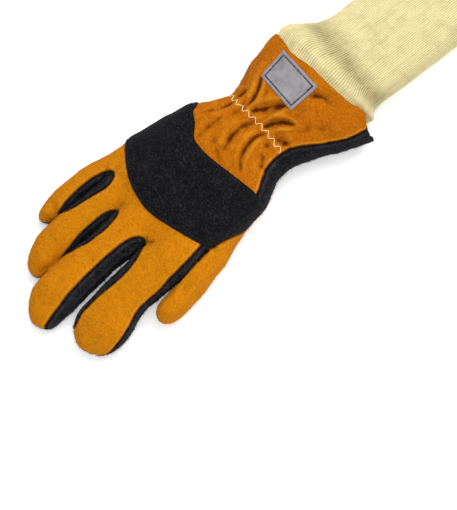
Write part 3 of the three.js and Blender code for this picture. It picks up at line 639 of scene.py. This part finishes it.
# Folds, unevenness and grooves, all along the skin's normals
normal = pointNormals(skin, faces)
seamAway = distanceTo(skin, seams, 8)
upper = eased((normal[:, 2] + 0.1) / 0.5) * eased((skin[:, 2] - 10) / 8)
sink = foldDepth(skin) * upper
sink += sum(deep * noiseAt(skin, size, seed) for size, deep, seed in leatherLook["uneven"])
pucker = 0.5 + 0.5 * noiseAt(skin, *leatherLook["pucker"])
sink += (leatherLook["groove"] + 0.5 * pucker) * np.exp(-(seamAway / leatherLook["grooveReach"]) ** 2)
sink -= leatherLook["ridge"] * np.exp(-((seamAway - leatherLook["ridgeAt"]) / leatherLook["ridgeReach"]) ** 2)
skin = skin - normal * sink[:, None]
hemAway = skin[:, 1] - endShift(skin) + gauntletLength - hemLook["inset"]
channel = np.exp(-((skin[:, 1] - stitchLook["channelAt"]) / stitchLook["channelReach"]) ** 4)
channel = np.maximum(channel, np.exp(-(hemAway / hemLook["channelReach"]) ** 4))
skin[:, 2] = np.maximum(skin[:, 2], stitchLook["channel"] * channel)
print("folds")


# One piece of the model: its own mesh with fields as point attributes, riding on the root body
def piece(name, node, points, triangles, thickness, fields=None):
    obj = meshObject(name, points, triangles.tolist())
    for field, values in (fields or {}).items():
        layer = obj.data.attributes.new(field, "FLOAT", "POINT")
        layer.data.foreach_set("value", np.asarray(values, dtype=np.float32))
    for polygon in obj.data.polygons:
        polygon.use_smooth = True
    if thickness:
        solid = obj.modifiers.new("thickness", "SOLIDIFY")
        solid.thickness = thickness * mm
        solid.offset = -1
        mesh = evaluatedMesh(obj)
        obj.modifiers.remove(solid)
        obj.data = mesh
        for vertex in mesh.vertices:
            vertex.co.z = max(vertex.co.z, 0)
    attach(obj, "root")
    if node:
        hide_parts(node)
    return obj


# Hollowness of each point: above zero in a fold, below on a ridge
def hollowness(points, triangles, edges, rounds):
    wide = relaxed(points, edges, 0.6, rounds)
    return ((wide - points) * pointNormals(points, triangles)).sum(axis=1)


# Along y: a darker colour towards the wrist, full there, and how far the painted shade and highlights of the
# folds fade on the orange fingers
toneAlongLook = {"from": 46, "run": 36, "paintedFoldFadeFrom": 60, "paintedFoldFadeRun": 20, "paintedFoldFade": 0.8}


def wristToneAt(points):
    return 1 - eased((points[:, 1] - toneAlongLook["from"]) / toneAlongLook["run"])


# Hollowness, used in the suede's colour to paint shade into the folds and highlights on their ridges
hollow = hollowness(skin, faces, edges, 20)
slots = {"back_panel": "gold_suede", "thumb_back": "gold_suede"}
pieces = {}
for index, name in enumerate(leatherNames):
    points, triangles, used = ownPart(skin, faces, label == index)
    wristTone = wristToneAt(points) if name == "back_panel" else points[:, 1] * 0
    # on the orange pieces the painted fold shade and ridge highlights fade out along the fingers
    paintedFoldFade = 1
    if name in slots:
        paintedFoldFade = 1 - toneAlongLook["paintedFoldFade"] * eased((points[:, 1] - toneAlongLook["paintedFoldFadeFrom"]) / toneAlongLook["paintedFoldFadeRun"])
    fields = {"hollow": hollow[used] * paintedFoldFade, "seamAway": seamAway[used], "wristTone": wristTone}
    pieces[name] = piece(name + "_leather", name, points, triangles,
                         leatherThickness, fields)
print("leather")


def unit(rows):
    return rows / np.linalg.norm(rows, axis=1)[:, None]


# Loose fibres of the suede, thin spikes with their roots in the leather: longest and radius for each colour,
# how much thicker they stand along the seams, and how they lean
fuzzLook = {
    "count": 42000, "short": 0.6, "seed": 11, "gold": (1.8, 0.12), "black": (3.0, 0.17),
    "above": 0.8, "border": 5, "borderReach": 1.8, "upright": 0.6, "lean": 0.8, "root": 0.25,
    "area": np.linalg.norm(facings(skin, faces), axis=1).sum(),
}


def fuzzPart(name, slot, chosen, seed, longest, radius):
    look, own = fuzzLook, faces[chosen]
    rng = np.random.default_rng(seed)
    a, b, c = (skin[own[:, corner]] for corner in range(3))
    facing = facings(skin, own)
    area = np.linalg.norm(facing, axis=1)
    facing /= np.maximum(area, 1e-9)[:, None]
    border = np.exp(-(seamAway[own[:, 0]] / look["borderReach"]) ** 2)
    area = area * (a[:, 2] > look["above"]) * (1 + look["border"] * border)
    count = int(look["count"] * area.sum() / look["area"])
    pick = rng.choice(len(area), count, p=area / area.sum())
    u, v = rng.random((2, count, 1))
    over = u + v > 1
    u, v = np.where(over, 1 - u, u), np.where(over, 1 - v, v)
    root = a[pick] + (b - a)[pick] * u + (c - a)[pick] * v
    normal = facing[pick]
    lean = rng.normal(size=(count, 3))
    lean = unit(lean - normal * (lean * normal).sum(axis=1)[:, None])
    aim = look["upright"] * normal + look["lean"] * lean
    length = lerp(look["short"], longest, rng.random((count, 1)) ** 2)
    across = unit(np.cross(aim, lean + 0.1))
    beside = np.cross(aim, across)
    ring = [root - normal * look["root"] + radius * (across * math.cos(turn) + beside * math.sin(turn))
            for turn in (0, 2 * math.pi / 3, 4 * math.pi / 3)]
    points = np.stack([*ring, root + aim * length], axis=1).reshape(-1, 3)
    points[:, 2] = np.maximum(points[:, 2], 0)
    spike = np.array([(0, 1, 3), (1, 2, 3), (2, 0, 3), (0, 2, 1)])
    triangles = (np.arange(count)[:, None, None] * 4 + spike).reshape(-1, 3)
    # fibres count as a slight ridge: a little of the painted ridge highlight and none of the painted fold
    # shade
    fields = {"hollow": points[:, 0] * 0 - 0.25, "seamAway": points[:, 0] * 0 + 8, "wristTone": wristToneAt(points)}
    return piece(name, None, points, triangles, 0, fields)


gold = np.isin(label, [leatherNames.index(name) for name in slots])
pieces["gold_fuzz"] = fuzzPart("gold_fuzz", "gold_suede", gold, fuzzLook["seed"], *fuzzLook["gold"])
pieces["black_fuzz"] = fuzzPart("black_fuzz", "black_suede", ~gold, fuzzLook["seed"] + 1, *fuzzLook["black"])
print("fuzz")

# Knuckle band, laid over the back: where it is looked for, its lift, its rounded edge and the groove inside
bandLook = {
    "from": (-62, 18, 6), "to": (62, 104, 60), "near": 1.7, "thickness": 1.3,
    "lift": 0.5, "swell": 1.1, "swellReach": 1.1, "groove": 0.45, "grooveAt": 3.2, "grooveReach": 0.7,
    "mottle": 0.4, "patch": 9, "seed": 5,
}


def bandPart():
    look = bandLook
    tree = nodeTree("knuckle_band")[0]
    centres = skin[faces].mean(axis=1)
    near = np.zeros(len(faces), dtype=int)
    for place in np.nonzero(np.all((centres > look["from"]) & (centres < look["to"]), axis=1))[0]:
        near[place] = tree.find_nearest(centres[place])[3] < look["near"]
    near = smoothLabels(near, faces, len(skin), 2, 8)
    points, triangles = ownPart(skin, faces, near == 1)[:2]
    edges, times = meshEdges(triangles)
    rim = edges[times == 1]
    points = smoothLines(points, triangles, edges, rim, 30)
    away = distanceTo(points, rim, 12)
    points = relaxed(points, edges, 0.5 * (away > 0)[:, None], 14)
    lift = look["lift"] + look["swell"] * (1 - np.exp(-(away / look["swellReach"]) ** 2))
    lift -= look["groove"] * np.exp(-((away - look["grooveAt"]) / look["grooveReach"]) ** 2)
    points = points + pointNormals(points, triangles) * lift[:, None]
    fields = {"hollow": look["mottle"] * noiseAt(points, look["patch"], look["seed"]), "seamAway": away}
    return piece("knuckle_band_felt", "knuckle_band", points, triangles,
                 look["thickness"], fields)


band = bandPart()
print("band")


# Label, a cloth rectangle lying over the gauntlet's folds
labelLook = {"corners": [(-7.9, -23.5), (26.3, -22), (30.4, -46), (-7.4, -48.5)], "across": 61, "along": 45,
             "size": (35, 25), "thickness": 0.6, "lift": 0.25, "edge": 0.8, "rounds": 24, "drop": 0.02}
skinTree = BVHTree.FromPolygons(skin.tolist(), faces.tolist())
upTriangles = [0, 3, 2, 0, 2, 1]  # a quad's corners as two triangles, facing its other side


def labelPart():
    look = labelLook
    a, b, c, d = (np.array(corner) for corner in look["corners"])
    u, v = np.meshgrid(np.linspace(0, 1, look["across"]), np.linspace(0, 1, look["along"]))
    place = lerp(lerp(a, b, u[..., None]), lerp(d, c, u[..., None]), v[..., None])
    height = np.array([[skinTree.ray_cast((x, y, 90), (0, 0, -1))[0][2] for x, y in row] for row in place])
    for turn in range(look["rounds"]):
        padded = np.pad(height, 1, mode="edge")
        level = (padded[2:, 1:-1] + padded[:-2, 1:-1] + padded[1:-1, 2:] + padded[1:-1, :-2]) / 4
        height = np.maximum(lerp(height, level, 0.5), height - look["drop"])
    rim = np.minimum(np.minimum(u, 1 - u) * look["size"][0], np.minimum(v, 1 - v) * look["size"][1])
    height += look["lift"] + look["thickness"] * (0.45 + 0.55 * eased(rim / look["edge"]))
    points = np.dstack([place, height]).reshape(-1, 3)
    triangles = gridQuads(*rim.shape, False)[:, upTriangles].reshape(-1, 3)
    return piece("label_cloth", "label", points, triangles, look["thickness"],
                 {"rim": rim.ravel(), "hollow": rim.ravel() * 0})


cloth = labelPart()
print("label")

# Wristlet, ribbed knit with a plain hem: its ribs, the waves that crowd together near the cuff, the tuck
# beside the gauntlet's corner and the painted shade in the valley round it
knitLook = {
    "ribs": 124, "columns": 4, "step": 1.3, "rib": 0.33, "wall": 2.6,
    "hem": 3, "wave": 0.07, "crowd": 0.5, "crowdRun": 22, "valleyShade": 0.8, "valleyAt": 18, "valleyReach": 8.5,
    "tuck": 8, "tuckFrom": -28, "tuckRun": 22, "tuckTo": 40, "tuckEase": 28,
}


def wristletPart():
    look = knitLook
    along, side, wide, top, under = wristletRows.T
    rows = finer(np.column_stack([
        along * wristletRun, side * wristletWidth, lerp(wristletWidth, gauntletWidth, wide) / 2,
        under * wristletHeight - restFlat, lerp(wristletHeight, gauntletHeight, top),
        gauntletSlant * np.clip(1 - along / 0.15, 0, 1),
    ]), look["step"])
    sides = look["ribs"] * look["columns"]
    turn = np.arange(sides) * 2 * np.pi / sides
    fine = 2 * np.pi * np.arange(sides * 8) / (sides * 8)
    ribs = np.cos(np.arange(sides) * 2 * np.pi / look["columns"])
    rings = []
    for reach, middle, half, under, top, slant in rows:
        path = np.column_stack(sectionAt(fine, middle, half, under, top, bodySquareness))
        spans = np.linalg.norm(np.diff(path, axis=0, append=path[:1]), axis=1)
        run = np.concatenate([[0], np.cumsum(spans)])
        place = np.interp(run[-1] * np.arange(sides) / sides, run, np.append(fine, 2 * np.pi))
        flat = np.column_stack(sectionAt(place, middle, half, under, top, bodySquareness))
        tangent = np.roll(flat, -1, axis=0) - np.roll(flat, 1, axis=0)
        outward = unit(np.column_stack([tangent[:, 1], -tangent[:, 0]]))
        wave = np.sin(turn * 9 + reach * 0.09)
        wave += 0.6 * np.sin(turn * 23 + reach * 0.17 + 2)
        crowd = np.exp(-max(reach, 0) / look["crowdRun"])
        hem = eased((wristletRun - reach) / look["hem"])
        lift = look["rib"] * ribs * (0.4 + 0.6 * hem) + (look["wave"] + look["crowd"] * crowd) * wave
        flat = flat + outward * lift[:, None]
        tuck = look["tuck"] * eased((look["tuckFrom"] - flat[:, 0]) / look["tuckRun"])
        flat[:, 0] += tuck * eased((look["tuckTo"] - reach) / look["tuckEase"])
        shift = -gauntletLength - reach + slant * flat[:, 0]
        rings.append(np.column_stack([flat[:, 0], shift, flat[:, 1]]))
    inner = []
    for ring in rings[::-4]:
        flat = ring - ring.mean(axis=0)
        reach = np.linalg.norm(flat[:, [0, 2]], axis=1)[:, None]
        inner.append(ring - flat * look["wall"] / reach * [1, 0, 1])
    rings += inner
    points = np.vstack(rings)
    points[:, 2] = np.maximum(points[:, 2], 0)
    reach = -gauntletLength - points[:, 1]
    # painted shade in the valley near the cuff
    valleyShade = look["valleyShade"] * np.exp(-((reach - look["valleyAt"]) / look["valleyReach"]) ** 2)
    triangles = gridQuads(len(rings), sides, True)[:, upTriangles].reshape(-1, 3)
    # the hollow field paints shade between the ribs
    return piece("wristlet_knit", "wristlet", points, triangles, 0,
                 {"hollow": np.tile(-ribs * 0.3, len(rings)), "valleyShade": valleyShade})


knit = wristletPart()
print("wristlet")


# Each stitch is laid where its rays meet the skin, arched in its middle, and made a round tube
def threadPiece(name, stitches, look):
    points, triangles, sides = [], [], 6
    for rays in stitches:
        path = []
        for index, (start, aim) in enumerate(rays):
            place, normal = skinTree.ray_cast(start, aim)[:2]
            if place is not None:
                arch = math.sin(math.pi * (index / look["turns"]))
                path.append((place + normal * (look["radius"] * (0.9 * arch - 0.35)), normal))
        if len(path) < look["fewest"]:
            continue
        quads = gridQuads(len(path), sides, True) + len(points)
        triangles.append(quads[:, [0, 1, 2, 0, 2, 3]].reshape(-1, 3))
        for index, (place, normal) in enumerate(path):
            before, after = path[max(index - 1, 0)][0], path[min(index + 1, len(path) - 1)][0]
            along = (after - before).normalized()
            across = along.cross(normal).normalized()
            upward = across.cross(along)
            for side in range(sides):
                angle = 2 * math.pi * side / sides
                aside = across * math.cos(angle) + upward * math.sin(angle)
                points.append(tuple(place + aside * look["radius"]))
    points = np.array(points)
    points[:, 2] = np.maximum(points[:, 2], 0)
    return piece(name, None, points, np.vstack(triangles), 0)


# Places round the skin, met by rays toward its middle
def surfaceRound(y, centre, count):
    places = []
    for turn in range(count):
        angle = 2 * np.pi * turn / count
        aim = Vector((math.cos(angle), 0, math.sin(angle)))
        places.append(skinTree.ray_cast(Vector((centre[0], y, centre[1])) + aim * 90, -aim)[0])
    return places


# Zigzag thread round the gathered wrist, leaving the black strip bare
def zigzagPart():
    look = stitchLook
    places = surfaceRound(-1, (0, look["centre"]), 720)
    run = [0.0]
    for before, after in zip(places, places[1:]):
        run.append(run[-1] + (after - before).length)
    zigs = int(round(run[-1] / look["pitch"])) * 2
    corners = []
    for index in range(zigs):
        place = places[int(np.interp(run[-1] * index / zigs, run, np.arange(len(run))))]
        level = look["middle"] + look["lean"] * eased((place[0] + 8) / 36)
        level -= look["palmLean"] * eased((14 - place[2]) / 14)
        level += look["reach"] * (1 if index % 2 else -1)
        aim = Vector((place[0], 0, place[2] - look["centre"])).normalized()
        corners.append((Vector((place[0], level, place[2])), aim))
    stitches = []
    for index, (start, startAim) in enumerate(corners):
        end, endAim = corners[(index + 1) % zigs]
        if min(start.x, end.x) < look["bareBeyond"] and start.z > look["bareAbove"]:
            continue
        stitches.append([])
        for turn in range(look["turns"] + 1):
            share = turn / look["turns"]
            aim = startAim.lerp(endAim, share).normalized()
            stitches[-1].append((start.lerp(end, 0.06 + 0.88 * share) + aim * 14, -aim))
    return threadPiece("wrist_zigzag", stitches, look)


zigzag = zigzagPart()
print("zigzag")


# Straight stitches along the hem on the palm side
def hemPart():
    look = hemLook
    stitches = []
    for x in np.arange(look["from"], look["to"], look["pitch"]):
        stitches.append([])
        for turn in range(look["turns"] + 1):
            place = x + look["length"] * (turn / look["turns"])
            end = endShift(np.array([[place, 0, 0]]))[0] - gauntletLength
            stitches[-1].append(((place, end + look["inset"], -20), (0, 0, 1)))
    return threadPiece("hem_stitches", stitches, look)


hemStitches = hemPart()
print("hem stitches", len(hemStitches.data.polygons))


def addNode(tree, kind, settings=None, links=None):
    node = tree.nodes.new(kind)
    for name, value in (settings or {}).items():
        if hasattr(node, name):
            setattr(node, name, value)
        else:
            node.inputs[name].default_value = value
    for name, source in (links or {}).items():
        tree.links.new(source, node.inputs[name])
    return node


# A constant value or another node's output, put on a socket
def feed(tree, socket, value):
    if isinstance(value, bpy.types.NodeSocket):
        tree.links.new(value, socket)
    else:
        socket.default_value = value


def noiseNode(tree, where, size, detail=3, roughness=0.55):
    settings = {"Detail": detail, "Roughness": roughness, "Scale": 1 / (size * mm)}
    return addNode(tree, "ShaderNodeTexNoise", settings, {"Vector": where}).outputs["Fac"]


def stretched(tree, where, scale, turn=0):
    settings = {"Scale": scale, "Rotation": (0, 0, turn)}
    return addNode(tree, "ShaderNodeMapping", settings, {"Vector": where}).outputs["Vector"]


def fieldNode(tree, name):
    return addNode(tree, "ShaderNodeAttribute", {"attribute_name": name}).outputs["Fac"]


def mixColour(tree, share, low, high):
    node = tree.nodes.new("ShaderNodeMix")
    node.data_type = "RGBA"
    for socket, value in ((node.inputs[0], share), (node.inputs[6], low), (node.inputs[7], high)):
        feed(tree, socket, value)
    return node.outputs[2]


def rangeNode(tree, value, low, high, toLow=0.0, toHigh=1.0):
    settings = {"From Min": low, "From Max": high, "To Min": toLow, "To Max": toHigh}
    return addNode(tree, "ShaderNodeMapRange", settings, {"Value": value}).outputs["Result"]


def mathNode(tree, operation, first, second=0.0):
    node = tree.nodes.new("ShaderNodeMath")
    node.operation = operation
    feed(tree, node.inputs[0], first)
    feed(tree, node.inputs[1], second)
    return node.outputs[0]


def plus(tree, first, second):
    return mathNode(tree, "ADD", first, second)


def times(tree, first, second):
    return mathNode(tree, "MULTIPLY", first, second)


# Shader node groups, each built once: named inputs, and a colour and a normal as outputs
def newGroup(name, inputs):
    group = bpy.data.node_groups.new(name, "ShaderNodeTree")
    for title, value in inputs.items():
        kind = "NodeSocketColor" if isinstance(value, tuple) else "NodeSocketFloat"
        group.interface.new_socket(title, in_out="INPUT", socket_type=kind).default_value = value
    group.interface.new_socket("Color", in_out="OUTPUT", socket_type="NodeSocketColor")
    group.interface.new_socket("Normal", in_out="OUTPUT", socket_type="NodeSocketVector")
    where = addNode(group, "ShaderNodeTexCoord").outputs["Object"]
    return group, group.nodes.new("NodeGroupInput").outputs, where


def finishedGroup(group, colour, height, strength, distance):
    bump = addNode(group, "ShaderNodeBump", {"Strength": strength, "Distance": distance}, {"Height": height})
    result = group.nodes.new("NodeGroupOutput").inputs
    group.links.new(colour, result["Color"])
    group.links.new(bump.outputs["Normal"], result["Normal"])
    return group


def srgb(red, green, blue):
    def linear(part):
        share = part / 255
        return share / 12.92 if share <= 0.04045 else ((share + 0.055) / 1.055) ** 2.4
    return (linear(red), linear(green), linear(blue), 1)


white, black = (1, 1, 1, 1), (0, 0, 0, 1)


# Nap of suede: mottled colour, darker towards the wrist, painted shade in the folds, darker seams, painted
# highlights on the ridges, a paler line beside the seams, and a fine fibrous bump
def suedeGroup():
    group, given, where = newGroup("suede_nap", {"Base": white, "Deep": white, "Fold": black, "PaleAndHighlight": white,
                                                 "Mottle": 0.5, "Grain": 0.5, "Rim": 0.3})
    hollowField, seamField = fieldNode(group, "hollow"), fieldNode(group, "seamAway")
    lain = stretched(group, where, (0.55, 1.5, 1), 0.3)
    patch = noiseNode(group, where, 5, 4)
    grain = noiseNode(group, lain, 1.15, 4, 0.75)
    coarse = noiseNode(group, lain, 2.2, 4, 0.6)
    fibre = noiseNode(group, where, 0.75, 5, 0.7)
    # base colour darkens towards the wrist
    base = mixColour(group, fieldNode(group, "wristTone"), given["Base"], given["Deep"])
    shade = rangeNode(group, plus(group, noiseNode(group, where, 22, 2), patch), 0.75, 1.25)
    dim = mixColour(group, 0.45, base, given["Fold"])
    colour = mixColour(group, times(group, shade, given["Mottle"]), base, dim)
    broken = mathNode(group, "SUBTRACT", plus(group, grain, plus(group, coarse, patch)), 1.5)
    # painted shade: the hollow field, broken up by noise
    deep = plus(group, hollowField, times(group, broken, 0.35))
    # a paler line on the ridge beside each seam
    rim = times(group, rangeNode(group, seamField, 1.0, 1.7), rangeNode(group, seamField, 3.4, 2.1))
    for share, strength, other in (
        (rangeNode(group, grain, 0.5, 0.28), given["Grain"], "Fold"),
        (rangeNode(group, grain, 0.52, 0.68), given["Grain"], "PaleAndHighlight"),
        # painted shade in the folds
        (rangeNode(group, deep, 0.06, 0.66), 0.94, "Fold"),
        # painted highlight on the ridges of the folds, partly rubbed wear
        (rangeNode(group, hollowField, -0.12, -0.6), 0.35, "PaleAndHighlight"),
        (rangeNode(group, seamField, 1.1, 0.2), 0.75, "Fold"),
        (rim, given["Rim"], "PaleAndHighlight"),
    ):
        colour = mixColour(group, times(group, share, strength), colour, given[other])
    height = plus(group, plus(group, times(group, coarse, 1.2), fibre), times(group, grain, 1.5))
    return finishedGroup(group, colour, height, 0.8, 0.0005)


# Ribbed knit: painted shade between the ribs and in the valley at the cuff, with fine rows of loops
def knitGroup():
    group, given, where = newGroup("rib_knit", {"Base": white, "Fold": black})
    # painted shade between the ribs
    deep = rangeNode(group, fieldNode(group, "hollow"), -0.1, 0.3)
    drawn = noiseNode(group, stretched(group, where, (1, 0.12, 1)), 2.6, 3)
    share = times(group, deep, rangeNode(group, drawn, 0.35, 0.65, 0.28, 0.6))
    share = plus(group, share, rangeNode(group, noiseNode(group, where, 9, 3), 0.45, 0.75, 0, 0.2))
    # painted shade in the valley
    share = plus(group, share, times(group, fieldNode(group, "valleyShade"), 0.55))
    loops = addNode(group, "ShaderNodeTexWave", {
        "wave_type": "BANDS", "bands_direction": "Y", "Scale": 2 * math.pi / (20 * 1.35 * mm),
        "Distortion": 0.6, "Detail": 1.0, "Detail Scale": 2.0,
    }, {"Vector": where}).outputs["Fac"]
    share = mathNode(group, "MINIMUM", plus(group, share, rangeNode(group, loops, 0.5, 0.0, 0, 0.12)), 1.0)
    colour = mixColour(group, share, given["Base"], given["Fold"])
    return finishedGroup(group, colour, plus(group, loops, noiseNode(group, where, 0.6, 4, 0.7)), 0.5, 0.0004)


# Woven label: a smooth weave with a dashed border of stitches
def satinGroup():
    group, given, where = newGroup("label_weave", {"Base": white, "Border": black})
    patch = rangeNode(group, noiseNode(group, where, 6, 3), 0.35, 0.7, 0, 0.3)
    colour = mixColour(group, patch, given["Base"], given["Border"])
    near = mathNode(group, "ABSOLUTE", mathNode(group, "SUBTRACT", fieldNode(group, "rim"), 2.6))
    line = rangeNode(group, near, 0.75, 0.4)
    stitch = rangeNode(group, noiseNode(group, where, 1.3, 1), 0.38, 0.48, 0.45, 1)
    colour = mixColour(group, times(group, line, stitch), colour, given["Border"])
    weave = addNode(group, "ShaderNodeTexWave", {"wave_type": "BANDS", "bands_direction": "X", "Scale": 220},
                    {"Vector": where}).outputs["Fac"]
    height = mathNode(group, "SUBTRACT", times(group, weave, 0.3), line)
    return finishedGroup(group, colour, height, 0.6, 0.0003)


def threadGroup():
    group, given, where = newGroup("twisted_thread", {"Base": white, "Fold": black})
    twist = noiseNode(group, where, 0.5, 2)
    colour = mixColour(group, rangeNode(group, twist, 0.35, 0.75), given["Base"], given["Fold"])
    return finishedGroup(group, colour, twist, 0.5, 0.0002)


def newMaterial(name, group, sockets, surface):
    material = bpy.data.materials.new(name)
    material.use_nodes = True
    tree = material.node_tree
    shader = tree.nodes["Principled BSDF"]
    for socket, value in surface.items():
        shader.inputs[socket].default_value = value
    node = tree.nodes.new("ShaderNodeGroup")
    node.node_tree = group
    for socket, value in sockets.items():
        node.inputs[socket].default_value = value
    tree.links.new(node.outputs["Color"], shader.inputs["Base Color"])
    tree.links.new(node.outputs["Normal"], shader.inputs["Normal"])
    return material


suedeNap = suedeGroup()


# Suede in its colours: base, darker towards the wrist, dark for fibres, seams and the painted fold shade,
# pale for fibres and the painted ridge highlights; with shares of mottle, grain and rim; surface is
# roughness, gloss and sheen
def suede(name, colours, shares, surface, tint):
    sockets = dict(zip(("Base", "Deep", "Fold", "PaleAndHighlight"), (srgb(*colour) for colour in colours)))
    sockets.update(zip(("Mottle", "Grain", "Rim"), shares))
    names = ("Roughness", "Specular IOR Level", "Sheen Weight", "Sheen Roughness")
    return newMaterial(name, suedeNap, sockets, {**dict(zip(names, surface)), "Sheen Tint": srgb(*tint)})


goldSuede = suede("gold_suede", [(208, 128, 5), (186, 101, 3), (74, 32, 2), (230, 156, 36)],
                  (0.3, 0.5, 0.35), (0.95, 0.08, 0.04, 0.5), (240, 170, 70))
blackSuede = suede("black_suede", [(13, 13, 15), (13, 13, 15), (4, 4, 6), (76, 77, 82)],
                   (0.4, 0.75, 0.1), (0.9, 0.12, 0.02, 0.4), (160, 162, 172))
bandFelt = suede("knuckle_felt", [(12, 12, 14), (12, 12, 14), (4, 4, 6), (64, 65, 69)],
                 (0.35, 0.7, 0.06), (0.9, 0.12, 0.04, 0.4), (170, 172, 182))
# the knit's darker colour carries its loops and mottling and the painted shade between the ribs and in the
# valley
creamKnit = newMaterial("cream_knit", knitGroup(), {"Base": srgb(228, 217, 164), "Fold": srgb(128, 108, 60)},
                        {"Roughness": 0.9, "Specular IOR Level": 0.2, "Sheen Weight": 0.2})
labelSatin = newMaterial("label_satin", satinGroup(),
                         {"Base": srgb(140, 136, 141), "Border": srgb(16, 14, 17)},
                         {"Roughness": 0.42, "Specular IOR Level": 0.5, "Sheen Weight": 0.1})
creamThread = newMaterial("cream_thread", threadGroup(),
                          {"Base": srgb(250, 233, 182), "Fold": srgb(220, 192, 118)},
                          {"Roughness": 0.6, "Sheen Weight": 0.2})

for name, obj in pieces.items():
    obj.data.materials.append(goldSuede if name in slots or name == "gold_fuzz" else blackSuede)
for obj, material in ((band, bandFelt), (cloth, labelSatin), (knit, creamKnit), (zigzag, creamThread),
                      (hemStitches, creamThread)):
    obj.data.materials.append(material)
print("materials")

# Floor, lights and surroundings; the lights are places in metres, sizes and powers
stageLook = {
    "floor": 6, "grey": 0.86, "roughness": 0.8, "glow": 0.38, "surroundings": 0.42, "aim": (0, 0.05, 0.02),
    "lights": [("key", (0.15, -0.95, 1.45), 1.5, 26), ("fill", (-1.0, 0.7, 1.3), 1.8, 7),
               ("top", (0.1, 0.1, 2.0), 2.2, 11)],
}
reach = stageLook["floor"]
floorMesh = bpy.data.meshes.new("floor")
floorMesh.from_pydata([(-reach, -reach, 0), (reach, -reach, 0), (reach, reach, 0), (-reach, reach, 0)], [],
                      [(0, 1, 2, 3)])
floor = placedObject("floor", floorMesh)
floorMaterial = bpy.data.materials.new("floor")
floorMaterial.use_nodes = True
floorShader = floorMaterial.node_tree.nodes["Principled BSDF"].inputs
floorShader["Base Color"].default_value = (*[stageLook["grey"]] * 3, 1)
floorShader["Roughness"].default_value = stageLook["roughness"]
floorShader["Emission Color"].default_value = white
floorShader["Emission Strength"].default_value = stageLook["glow"]
floorMesh.materials.append(floorMaterial)

for name, place, size, power in stageLook["lights"]:
    data = bpy.data.lights.new(name, "AREA")
    data.shape = "DISK"
    data.size = size
    data.energy = power
    light = placedObject(name, data)
    light.location = place
    light.rotation_euler = (Vector(stageLook["aim"]) - Vector(place)).to_track_quat("-Z", "Y").to_euler()
world = bpy.data.worlds.new("world")
bpy.context.scene.world = world
world.use_nodes = True
background = world.node_tree.nodes["Background"].inputs
background["Color"].default_value = white
background["Strength"].default_value = stageLook["surroundings"]
bpy.context.scene.view_settings.view_transform = "Standard"

# Camera: the point in the picture's middle, the directions of the picture's sides, distance and lens
view = {"target": (-0.0572, 0.073, 0.020), "right": (-0.592, -0.790, -0.159), "up": (0.763, -0.613, 0.205),
        "back": (-0.259, 0, 0.966), "distance": 2.976, "lens": 300, "sensor": 36}
cameraData = bpy.data.cameras.new("camera")
cameraData.lens = view["lens"]
cameraData.sensor_width = view["sensor"]
camera = placedObject("camera", cameraData)
turn = Matrix([view["right"], view["up"], view["back"]]).transposed().to_quaternion().to_matrix().to_4x4()
place = Vector(view["target"]) + Vector(view["back"]) * view["distance"]
camera.matrix_world = Matrix.Translation(place) @ turn
bpy.context.scene.camera = camera
